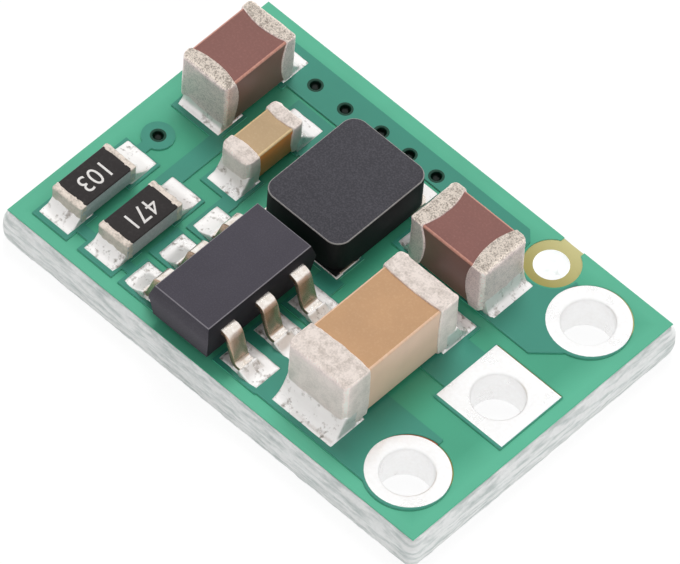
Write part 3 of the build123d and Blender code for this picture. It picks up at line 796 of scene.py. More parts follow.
class Finishes:
    """The finishes of the board, by what each thing is made of."""

    # Green ink on both faces, cured hard; it is clear enough to show what lies under it.
    mask = SolderMaskInk("solder_mask_ink", "solder_mask")
    # Ink that ran into a via pools thick and dark, and its bowl is painted near black as painted
    # shade inside the hole.
    pooled_and_shaded_mask = SolderMaskInk(
        "pooled_ink_painted_shade", "solder_mask", "#0c3f30", "#03170f", "#03170f",
        flow=0.0, sheen=0.3, painted_step_paling=1.0,
    )
    # Cut glass cloth and resin inside the board, which lets some light through; its sides get a
    # painted glow for that light.
    laminate = GlassEpoxy(
        "glass_epoxy_core", "laminate", "#f3f4f4", "#dcdfde", face="#978c45", glow=0.30
    )
    # The same where the board broke from its panel, torn and pale, with a faint painted glow.
    snapped_side = GlassEpoxy("snapped_glass_epoxy", "laminate")
    # Tin on a land lies almost flat and mirrors the pale room softly.
    land = Metal(
        "hot_air_levelled_tin", "tinned_copper", "#ffffff", "#f8f7f6", 0.6, 0.08,
        (0.3, 0.6), (0.24, 0.38), 0.8, 0.003,
    )
    # Reflowed paste is bright and smooth, with grey wrinkles where flux lay; its steep faces are
    # painted a slightly darker, pinker tone for how light falls on them.
    solder = Metal(
        "reflowed_solder", "solder", "#fdfbf9", "#a09a93", 0.34, 0.10,
        (0.34, 0.46), (0.24, 0.42), 0.45, 0.005, steep="#e8dcdc",
    )
    # Tin barrel-plated on fired silver keeps the paste's pits, so it looks grainy; its steep faces
    # are painted paler and pinker as painted light, and its edges brighter as a painted highlight.
    cap_tin = Metal(
        "barrel_plated_end_tin", "end_metal", "#e2d6ca", "#8c8176", 0.12, 0.03,
        (0.36, 0.57), (0.34, 0.50), 0.30, 0.005,
        steep="#f4dfe4", share=0.5, painted_edge_highlight=0.4, fineness=0.62,
    )
    # The big end caps were dipped thicker, so their grain is softer and paler; their steep faces
    # are painted paler as painted light, and their edges brighter as a painted highlight.
    thick_cap_tin = Metal(
        "thick_plated_end_tin", "end_metal", "#eee2da", "#c3b7ae", 0.22, 0.04,
        (0.36, 0.58), (0.36, 0.52), 0.20, 0.004,
        steep="#fff0ee", share=0.5, painted_edge_highlight=0.25, fineness=0.45,
    )
    # A resistor's ends are dipped thin and plated dull; their steep faces are painted darker as
    # painted shade.
    terminal_tin = Metal(
        "plated_terminal_tin", "end_metal", "#ecdfd3", "#b5aba0", 0.12, 0.05,
        (0.34, 0.54), (0.36, 0.5), 0.3, 0.008, steep="#b9b1a8",
    )
    # Matt tin on a stamped copper lead is bright on top; its steep faces are painted brown as a
    # painted reflection of the dark parts round it.
    lead_tin = Metal(
        "tin_plated_lead", "lead", "#fdf8f2", "#e2d4c5", 0.3, 0.12,
        (0.3, 0.6), (0.16, 0.26), 0.75, 0.001, steep="#b08a6c", share=0.85,
    )
    # Rolled copper, etched to its tracks and dull under the ink.
    foil = Metal(
        "etched_copper_foil", "copper", "#cf8a63", "#a9694a", 0.4, 0.06,
        (0.35, 0.65), (0.3, 0.5), 1.0, 0.003,
    )
    # Flat wire in clear enamel, which darkens the copper.
    winding = Metal(
        "enamelled_flat_copper", "copper", "#b8703f", "#8c4e28", 0.5, 0.08,
        (0.35, 0.65), (0.25, 0.4), 0.9, 0.003,
    )
    # Barium titanate fires to a satin brown; its sides are painted another tone for how light
    # falls on them, and its rounded edges are painted paler as a highlight.
    brown = Ceramic(
        "fired_brown_dielectric", "brown_ceramic", "#7e4f47", "#8b5c54", 0.40,
        speckle=(0.5, 0.8), depth=0.001, side="#78554c",
    )
    brown_edge_highlight = Ceramic("highlight_painted_on_brown_rounds", "brown_ceramic", "#c08574", "#cf9886", 0.35)
    # The large chip's dielectric fires to tan; its sides are painted paler against their shade,
    # and its rounded edges paler as a painted highlight.
    tan = Ceramic(
        "fired_tan_dielectric", "tan_ceramic", "#c0956c", "#c79e77", 0.40,
        speckle=(0.5, 0.8), depth=0.001, side="#eccab2",
    )
    tan_edge_highlight = Ceramic("highlight_painted_on_tan_rounds", "tan_ceramic", "#e8bf9e", "#edcbb0", 0.35)
    # The small chip is another dielectric, yellower on top; its sides are painted deep gold as
    # painted light and reflection, and its rounded edges paler as a painted highlight.
    straw = Ceramic(
        "fired_straw_dielectric", "tan_ceramic", "#bb9f7a", "#c2a985", 0.40,
        speckle=(0.5, 0.8), depth=0.001, side="#e5934a", sheen=0.4,
    )
    straw_edge_highlight = Ceramic("highlight_painted_on_straw_rounds", "tan_ceramic", "#dcc08e", "#e6cda0", 0.35)
    # Iron powder bonded with resin presses to a dull charcoal skin; its sides are painted darker
    # as painted shade, and its eased top edge grey as a painted highlight.
    powder = Ceramic(
        "pressed_iron_powder", "choke_powder", "#414045", "#535258", 0.6,
        grain=0.035, speckle=(0.42, 0.7), ior=1.5, side="#1b1c1e", sheen=0.2,
    )
    powder_edge_highlight = Ceramic("highlight_painted_on_powder_rounds", "choke_powder", "#8b8887", "#a5a19f", 0.5)
    # The choke's square foot is painted smooth and near black, as painted shade under the body.
    shaded_powder_foot = Ceramic(
        "foot_painted_black_as_shade", "choke_powder", "#121315", "#17181a", 0.5,
        ior=1.5, depth=0.001, sheen=0.1,
    )
    # Filled epoxy leaves the mould nearly black; its top and its end are painted paler and bluish,
    # and its sides darker, as painted light and shade, and its top edges carry a painted
    # highlight.
    moulding = Ceramic(
        "moulded_epoxy", "package", "#48454d", "#524f57", 0.6, grain=0.03,
        speckle=(0.45, 0.75), ior=1.5, depth=0.002, side="#242329", sheen=0.2,
        towards=(0.0, -0.6, 0.8),
    )
    moulding_edge_highlight = Ceramic("highlight_painted_on_epoxy_rounds", "package", "#77737a", "#858188", 0.5)
    # Sintered alumina, broken along scribed lines, is a cool matt white.
    alumina = Ceramic(
        "sintered_alumina", "alumina", "#a4a8ab", "#b4b8ba", 0.45, ior=1.7
    )
    # Lead-free glass paste, screened on and fired, seals the resistive film in black.
    glaze = Ceramic(
        "black_overglaze", "glaze", "#241f1f", "#2e2929", 0.3,
        grain=0.08, speckle=(0.5, 0.75), ior=1.5, depth=0.002, sheen=0.3,
    )
    # The figures are printed in white epoxy ink.
    print_ink = Ceramic(
        "white_marking_ink", "glaze", "#e2dedb", "#efedea", 0.5, grain=0.04, ior=1.5, depth=0.002
    )
    # The die is sawn from a lapped wafer, hard and grey.
    silicon = Ceramic(
        "sawn_silicon", "silicon", "#5b5e63", "#6c6f75", 0.2,
        grain=0.1, speckle=(0.4, 0.7), ior=3.4, depth=0.001,
    )


@dataclass(frozen=True)
class Seat:
    """A two-ended part on its pair of lands, in millimetres; u runs along it and v across."""

    place: tuple[float, float]
    along_y: bool
    size: tuple[float, float, float]
    band: float
    land: tuple[float, float]
    toe: float
    drift: tuple[float, float]
    climb: float

    def spot(self, u: float, v: float, z: float) -> Vector:
        """Turns a place along and across the lands' line into one on the board."""
        x, y = self.place
        return Vector((x + v, y + u, z)) if self.along_y else Vector((x + u, y + v, z))

    def shifts(self, pair: tuple[float, float]) -> tuple[float, float]:
        """Turns an X and Y shift into one along and across."""
        return (pair[1], pair[0]) if self.along_y else pair

    def along(self, point: Vector) -> float:
        """Gives a point's place along the part, from the lands' middle."""
        return point.y - self.place[1] if self.along_y else point.x - self.place[0]

    @property
    def axis(self) -> Vector:
        """The direction along the part."""
        return Vector((0, 1, 0)) if self.along_y else Vector((1, 0, 0))

    @property
    def middle(self) -> tuple[float, float]:
        """The part's middle along and across, since it drifted while the solder was molten."""
        return self.shifts(self.drift)

    def end(self, side: int) -> float:
        """The part's end face along its line: side -1 is the low end, +1 the high end."""
        return self.middle[0] + side * self.size[0] / 2

    def block(
        self, start: float, end: float, middle: float, half: float, low: float, high: float
    ) -> Piece:
        """Adds a block by its places along, across and up.

        Args:
            start: One end along the part.
            end: The other end along the part.
            middle: Its middle across.
            half: Half its width across.
            low: Its bottom.
            high: Its top.

        Returns:
            The block.
        """
        return add_block(
            self.spot(min(start, end), middle - half, low),
            self.spot(max(start, end), middle + half, high),
        )


def hollow_out(
    wedge: Piece, start: Vector, end: Vector, top: float, climb: float, slices: int = 5
) -> None:
    """Lowers a block's top to a hollow slope that runs out at its far end.

    Args:
        wedge: A block whose top is level.
        start: Where the slope is highest.
        end: Where it runs out, level with the start.
        top: Level of the block's top.
        climb: How far the slope climbs over the foil.
        slices: Steps of the slope.
    """
    hollow, thinnest = 2.2, 0.022
    way = end - start
    reach = way.length
    way.normalize()
    with Shaping(wedge) as shape:
        for number in range(slices):
            shape.slice(start + way * reach * number / slices, way)
        for number in range(1, slices + 1):
            share = number / slices
            rise = (1 - share) ** hollow * climb + thinnest
            shape.choose(
                Kind.VERTEX,
                lambda point, _: abs((point - start).dot(way) - share * reach) < reach * 0.02
                and point.z > top - 0.01,
            )
            shape.lift(COPPER_TOP + rise - top)


def solder_lumps(seat: Seat, side: int) -> Piece:
    """Builds one joint: the land's flat tin, its crown and the fillet up the part's end.

    Args:
        seat: The part on its lands.
        side: -1 for the low end, +1 for the high end.

    Returns:
        The overlapping lumps in one object, not yet melted together.
    """
    land_width, land_length = seat.land
    shift_u, shift_v = seat.shifts((0.0, MASK_SHIFT_Y))
    span = seat.size[0] + 2 * seat.toe
    outer = side * span / 2 + shift_u
    inner = side * (span / 2 - land_length) + shift_u
    flat, crown = (
        seat.block(
            outer + side * grow, inner - side * grow, shift_v, land_width / 2 + grow,
            TIN_ROOT, top,
        )
        for grow, top in ((TIN_RIM, TIN_FLAT), (-TIN_RIM, TIN_CROWN))
    )
    inset, sunk = 0.05, 0.04
    face = seat.end(side)
    toe = outer - side * inset
    half = min(seat.size[1] / 2 + 0.01, land_width / 2 - 0.005)
    top = COPPER_TOP + seat.climb
    wedge = seat.block(
        face - side * seat.band * 0.6, toe, (seat.middle[1] + shift_v) / 2, half,
        COPPER_TOP - sunk, top,
    )
    hollow_out(
        wedge, seat.spot(face - side * inset, 0, 0), seat.spot(toe, 0, 0), top, seat.climb
    )
    return unite([flat, crown, wedge])


@dataclass
class ChipPart:
    """A part with two ends, soldered to two lands."""

    name: str
    seat: Seat

    def hand(
        self, piece: Piece, name: str, finish: Finish, node: str, smooth_below: float = 60.0
    ) -> None:
        """Hands a piece over in place of one CAD node, both named after the part."""
        hand_over(piece, f"{self.name}_{name}", finish, (f"{self.name}_{node}",), smooth_below)

    def node_box(self, node: str) -> list[Vector]:
        """The low and the high corner of one of the part's CAD nodes, in millimetres."""
        return [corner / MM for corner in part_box(f"{self.name}_{node}")]

    def joints(self, grain: float, depth: float) -> None:
        """Models the solder on both lands as one piece.

        Args:
            grain: Grain of its skin in millimetres.
            depth: Depth of its dents in millimetres.
        """
        solder = unite([solder_lumps(self.seat, side) for side in (-1, 1)])
        melt(solder, grain, SOLDER_ROUNDS)
        roughen(solder, (SOLDER_DENTS[0], depth))
        self.hand(solder, "joints", Finishes.solder, "solder")


@dataclass
class ChipCapacitor(ChipPart):
    """A ceramic chip capacitor: its block, two dipped end caps and two solder joints."""

    bulge: float
    body: Finish
    # Finish of the rounded long edges, painted paler as a highlight
    edge: Finish
    edge_round: float
    tin: Finish = Finishes.cap_tin
    grain: float = 0.021
    shy: float = 0.008
    longer: tuple[float, float] = (0.0, 0.0)
    waves: tuple = ((0.45, 0.02), (0.08, 0.008))
    cap_round: float = 0.05
    block_round: float = 0.045
    cap_rounds: int = 3

    def end_cap(self, side: int, place: str) -> None:
        """Models a dipped end: rounded all over, its rim bowed towards the middle.

        Args:
            side: -1 for the low end, +1 for the high end.
            place: The cap's name in the CAD model.
        """
        seat, end, across = self.seat, self.seat.end(side), self.seat.middle[1]
        _, width, height = seat.size
        spare = 0.3
        cap = seat.block(
            end - side * (seat.band + spare), end, across, width / 2,
            SEAT_LEVEL, SEAT_LEVEL + height,
        )
        with Shaping(cap) as shape:
            shape.choose(Kind.EDGE, runs_along(seat.axis))
            shape.bevel(self.cap_round, 3)
            shape.choose(
                Kind.EDGE,
                lambda middle, direction: abs(seat.along(middle) - end) < NEAR
                and abs(direction.dot(seat.axis)) < ACROSS,
            )
            shape.bevel(self.edge_round, 5)
        # A ball about a point beyond the end leaves the rim an arc on each long face.
        reach = (width / 2) ** 2 / (2 * self.bulge) + self.bulge / 2
        centre = end - side * (seat.band + self.longer[side > 0]) + side * reach
        ball = add_ball(
            seat.spot(centre, across, SEAT_LEVEL + height / 2), math.hypot(reach, height / 2)
        )
        combine(cap, ball, Cut.KEEP)
        melt(cap, self.grain, self.cap_rounds)
        roughen(cap, *self.waves)
        self.hand(cap, f"{place}_end_tin", self.tin, f"{place}_cap")

    def ceramic(self) -> None:
        """Models the fired block between the caps; tumbling rounded its long edges, and the rounds
        are painted paler as a highlight.
        """
        low, high = self.node_box("ceramic")
        under_cap = self.seat.band * 0.45
        inset = self.seat.axis * under_cap + Vector((self.shy, self.shy, self.shy))
        block = add_block(low + inset, high - inset)
        give_two(block, self.body, self.edge)
        with Shaping(block) as shape:
            shape.choose(Kind.EDGE, runs_along(self.seat.axis))
            shape.bevel(self.block_round, 3, material=1)
        self.hand(block, "fired_block", self.body, "ceramic", 50)

    def build(self) -> None:
        """Builds the capacitor."""
        self.ceramic()
        self.end_cap(-1, "first")
        self.end_cap(1, "second")
        self.joints(SOLDER_GRAIN, SOLDER_DENTS[1])


@dataclass
class ChipResistor(ChipPart):
    """A thick-film chip resistor: substrate, overglaze, two wrapped ends, print and solder."""

    figures: str
    figure_height: float = 0.42
    band: float = 0.17
    wrap_round: float = 0.05
    wrap_grain: float = 0.014
    wrap_waves: tuple[float, float] = (0.12, 0.03)
    glaze_round: float = 0.025
    solder_grain: float = 0.02
    solder_depth: float = 0.018

    def terminal(self, side: int, place: str) -> None:
        """Models a wrapped end whose inner edges wander, as dipped silver does.

        Args:
            side: -1 for the low end, +1 for the high end.
            place: The end's name in the CAD model.
        """
        seat, end = self.seat, self.seat.end(side)
        proud, lid = 0.004, 0.05
        wrap = seat.block(
            end - side * self.band, end, seat.middle[1], seat.size[1] / 2 + proud,
            SEAT_LEVEL, SEAT_LEVEL + seat.size[2] + lid,
        )
        with Shaping(wrap) as shape:
            shape.choose(Kind.EDGE, lambda middle, _: abs(seat.along(middle) - end) < NEAR)
            shape.bevel(self.wrap_round, 4)
        melt(wrap, self.wrap_grain, 4)
        roughen(wrap, self.wrap_waves)
        self.hand(wrap, f"{place}_wrap", Finishes.terminal_tin, f"{place}_terminal")

    def overglaze(self) -> None:
        """Lays the black glaze over the resistive film, up to the ends and the sides."""
        seat = self.seat
        low, high = self.node_box("glaze")
        middle, across = seat.middle
        under_end, shy, sunk = 0.03, 0.004, 0.02
        reach = seat.size[0] / 2 - self.band + under_end
        glaze = seat.block(
            middle - reach, middle + reach, across, seat.size[1] / 2 - shy, low.z - sunk, high.z
        )
        with Shaping(glaze) as shape:
            shape.choose(
                Kind.EDGE,
                lambda middle, direction: abs(direction.dot(seat.axis)) > ALONG
                and middle.z > high.z - NEAR,
            )
            shape.bevel(self.glaze_round, 3)
        self.hand(glaze, "overglaze", Finishes.glaze, "glaze", 50)

    def printing(self) -> None:
        """Prints three plain figures on the overglaze."""
        letter_share, half_thick, thinner, narrower = 1.4, 0.003, -0.002, 0.92
        bpy.ops.object.text_add(location=(0, 0, 0))
        text = bpy.context.active_object
        for name, value in {
            "body": self.figures, "size": self.figure_height * letter_share,
            "extrude": half_thick, "offset": thinner, "align_x": "CENTER", "align_y": "CENTER",
            "resolution_u": 6,
        }.items():
            setattr(text.data, name, value)
        pick(text)
        bpy.ops.object.convert(target="MESH")
        ink = bpy.context.active_object
        # The figures read along the part, and their tops point to the board's right.
        ink.rotation_euler = (0, 0, -math.pi / 2)
        ink.scale = (narrower, 1.0, 1.0)
        high = self.node_box("glaze")[1]
        ink.location = self.seat.spot(*self.seat.middle, high.z + half_thick / 2)
        settle(ink)
        hand_over(ink, f"{self.name}_figures", Finishes.print_ink)

    def build(self) -> None:
        """Builds the resistor."""
        dress(Finishes.alumina, f"{self.name}_substrate")
        self.overglaze()
        self.terminal(-1, "first")
        self.terminal(1, "second")
        self.printing()
        self.joints(self.solder_grain, self.solder_depth)


@dataclass
class Regulator:
    """The six-lead regulator: moulded body, bent leads and their solder."""

    x: float = -0.904
    y: float = -2.097
    width: float = 1.6
    length: float = 3.0
    low: float = 1.09
    high: float = 2.01
    draft: float = 10.0
    pitch: float = 0.95
    lead_width: float = 0.38
    lead_thickness: float = 0.13
    parting: float = 1.71
    knees: tuple[float, float] = (0.93, 0.95)
    reaches: tuple[float, float] = (1.26, 1.38)
    run: float = 0.22
    bend: float = 0.165
    bend_steps: int = 8
    inside: float = 0.28
    paddle_top: float = 1.505
    paddle_half: tuple[float, float] = (0.35, 0.85)
    bar: tuple[float, float] = (-0.55, -0.42)
    land_x: float = -0.88
    land_y: float = -2.01
    land_length: float = 1.0
    land_width: float = 0.68
    land_reach: float = 1.78
    edge_round: float = 0.016
    fillet_top: float = 1.07
    fillet_climb: float = 0.18
    skirt_shrink: tuple[float, float, float] = (0.95, 0.72, 1)

    def body(self) -> None:
        """Models the moulding, drafted both ways from its parting line; its top edges are painted
        paler as a highlight.
        """
        body = self.box(
            -self.width / 2, self.width / 2, self.y, self.length / 2, self.low, self.high
        )
        inset = math.tan(math.radians(self.draft)) * (self.high - self.low) / 2
        shrink = (1 - 2 * inset / self.width, 1 - 2 * inset / self.length, 1)
        give_two(body, Finishes.moulding, Finishes.moulding_edge_highlight)
        with Shaping(body) as shape:
            shape.slice((0, 0, self.parting), UP)
            for level in (self.low, self.high):
                shape.choose(Kind.VERTEX, lies_at(level))
                shape.resize(shrink, (self.x, self.y, level))
            shape.choose(Kind.EDGE, lies_at(self.high))
            shape.bevel(self.edge_round, 2, material=1)
        hand_over(body, "regulator_moulding", Finishes.moulding, ("regulator_package",), 30)
        dress(Finishes.silicon, "regulator_die")

    def box(
        self, left: float, right: float, y: float, half: float, low: float, high: float
    ) -> Piece:
        """Adds a block by its ends from the body's middle, and its middle and half across."""
        return add_block(
            (self.x + min(left, right), y - half, low), (self.x + max(left, right), y + half, high)
        )

    def lead(self, knee: float, reach: float) -> Piece:
        """Bends one lead on the right-hand side, in the middle row.

        Args:
            knee: Where it turns down, from the body's middle.
            reach: Where its foot ends, from the body's middle.

        Returns:
            The lead, with its long edges eased.
        """
        half = self.lead_thickness / 2
        foot = SEAT_LEVEL + half
        drop = self.parting - foot
        turn = math.atan2(drop, self.run)
        cut = self.bend * math.tan(turn / 2)
        lead = self.box(
            self.width / 2 - self.inside, knee - cut, self.y, self.lead_width / 2,
            self.parting - half, self.parting + half,
        )
        slope = math.hypot(drop, self.run) - 2 * cut
        down = Vector((math.cos(turn), 0, -math.sin(turn)))
        knee_bend = (self.x + knee - cut, self.y, self.parting - self.bend)
        foot_bend = (self.x + knee + self.run + cut, self.y, foot + self.bend)
        left = (self.x + reach - foot_bend[0], 0, 0)
        with Shaping(lead) as shape:
            shape.choose(Kind.FACE, lambda _, normal: normal.x > ALONG)
            for angle, centre, way in ((-turn, knee_bend, down * slope), (turn, foot_bend, left)):
                bpy.ops.mesh.spin(
                    steps=self.bend_steps, angle=angle, center=centre, axis=(0, 1, 0)
                )
                bpy.ops.mesh.extrude_region_move(TRANSFORM_OT_translate={"value": way})
            shape.face_outwards()
        use_modifier(
            lead, "BEVEL", width=self.edge_round, segments=2, limit_method="ANGLE",
            angle_limit=math.radians(50),
        )
        return lead

    def leads(self) -> None:
        """Copies the lead to its six places; the ground lead carries the die's paddle."""
        names = {
            (1, 1): "switch", (1, 0): "input", (1, -1): "enable",
            (-1, 1): "boost", (-1, 0): "ground", (-1, -1): "feedback",
        }
        models = {
            side: self.lead(knee, reach)
            for side, knee, reach in zip((-1, 1), self.knees, self.reaches)
        }
        middle = Matrix.Translation((self.x, self.y, 0))
        for (side, row), name in names.items():
            lead = duplicate(models[side])
            turn = Matrix.Rotation(0.0 if side > 0 else math.pi, 4, "Z")
            lead.matrix_world = (
                Matrix.Translation((0, row * self.pitch, 0)) @ middle @ turn @ middle.inverted()
            )
            settle(lead)
            if name == "ground":
                half_x, half_y = self.paddle_half
                below = self.paddle_top - self.lead_thickness
                paddle = self.box(-half_x, half_x, self.y, half_y, below, self.paddle_top)
                bar = self.box(
                    *self.bar, self.y, self.lead_width / 2, below,
                    self.parting + self.lead_thickness / 2,
                )
                lead = unite([lead, paddle, bar])
            node = f"regulator_{name}_lead"
            hand_over(lead, f"regulator_{name}_bent_lead", Finishes.lead_tin, (node,), 45)
        for model in models.values():
            bpy.data.objects.remove(model)

    def foot_lumps(self, side: int, row: int) -> list[Piece]:
        """Builds one joint's tin, the skirt round the foot and the wedge at its toe.

        Args:
            side: -1 for the left-hand leads, +1 for the right-hand ones.
            row: -1, 0 or +1 along the package.

        Returns:
            The lumps, not yet melted together.
        """
        x = self.land_x + side * (self.land_reach - self.land_length / 2)
        y = self.land_y + row * self.pitch + MASK_SHIFT_Y
        length, width = self.land_length / 2, self.land_width / 2
        tin = [
            add_block(
                (x - length - grow, y - width - grow, TIN_ROOT),
                (x + length + grow, y + width + grow, top),
            )
            for grow, top in ((TIN_RIM, TIN_FLAT), (-TIN_RIM, TIN_CROWN))
        ]
        spare, root, skirt_top = 0.05, 0.86, 0.99
        foot_y = self.y + row * self.pitch
        half = self.lead_width / 2 + spare
        knee = side * (self.knees[side > 0] + self.run - 0.03)
        tip = side * self.reaches[side > 0]
        toe = self.land_x - self.x + side * (self.land_reach - 0.06)
        skirt = self.box(knee, tip, foot_y, half, root, skirt_top)
        with Shaping(skirt) as shape:
            shape.choose(Kind.VERTEX, lambda point, _: point.z > SEAT_LEVEL)
            shape.resize(self.skirt_shrink, (self.x + (knee + tip) / 2, foot_y, SEAT_LEVEL))
        wedge = self.box(tip - side * 0.04, toe, foot_y, half, root, self.fillet_top)
        ends = (Vector((self.x + u, foot_y, BOARD_TOP)) for u in (tip, toe))
        hollow_out(wedge, *ends, self.fillet_top, self.fillet_climb, 4)
        return tin + [skirt, wedge]

    def joints(self) -> None:
        """Models the solder on the six lands and round the feet as one piece."""
        solder = unite([
            lump for side in (-1, 1) for row in (-1, 0, 1) for lump in self.foot_lumps(side, row)
        ])
        melt(solder, SOLDER_GRAIN, SOLDER_ROUNDS)
        roughen(solder, SOLDER_DENTS)
        hand_over(solder, "regulator_joints", Finishes.solder, ("regulator_solder",), 60)

    def build(self) -> None:
        """Builds the regulator."""
        self.body()
        self.leads()
        self.joints()


@dataclass
class Choke:
    """The moulded choke with its hidden winding and flat terminals."""

    corner: float = 0.32
    corner_steps: int = 12
    top_edge: float = 0.022
    foot_corner: tuple[float, float] = (0.150, -0.262)
    foot_run: float = 0.64
    foot_levels: tuple[float, float] = (0.905, 0.985)
    rim: float = 0.022
    rim_levels: tuple[float, float] = (0.885, 0.915)
    bead_ends: tuple = ((-0.06, -0.03), (0.045, 0.16))
    bead_top: float = 0.922
    rim_grain: float = 0.012

    def body(self) -> None:
        """Models the pressed body with round corners and an eased top edge, painted grey as a
        highlight.
        """
        low, high = (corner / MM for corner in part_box("choke_body"))
        body = add_block(low, high)
        give_two(body, Finishes.powder, Finishes.powder_edge_highlight)
        with Shaping(body) as shape:
            shape.choose(Kind.EDGE, runs_along(UP))
            shape.bevel(self.corner, self.corner_steps)
            shape.choose(
                Kind.EDGE,
                lambda middle, direction: abs(middle.z - high.z) < NEAR
                and abs(direction.z) < ACROSS,
            )
            shape.bevel(self.top_edge, 2, material=1)
        hand_over(body, "choke_moulding", Finishes.powder, ("choke_body",), 30)

    def foot(self) -> None:
        """Models the square corner below the round one, painted near black as shade, and the rim
        of solder along it.
        """
        x, y = self.foot_corner
        (low, high), (under, over) = self.foot_levels, self.rim_levels
        lip = add_block((x - self.foot_run, y, low), (x, y + self.foot_run, high))
        hand_over(lip, "choke_foot", Finishes.shaded_powder_foot)
        rim = add_block(
            (x - self.foot_run, y - self.rim, under), (x + self.rim, y + self.foot_run, over)
        )
        (left, front), (right, back) = self.bead_ends
        bead = add_block((x + left, y + front, under), (x + right, y + back, self.bead_top))
        solder = unite([rim, bead])
        melt(solder, self.rim_grain, 2)
        hand_over(solder, "choke_foot_rim", Finishes.solder, (), 60)

    def build(self) -> None:
        """Builds the choke."""
        self.body()
        self.foot()
        dress(Finishes.winding, "choke_winding")
        dress(Finishes.lead_tin, "choke_first_terminal", "choke_second_terminal")
        dress(Finishes.solder, "choke_solder")


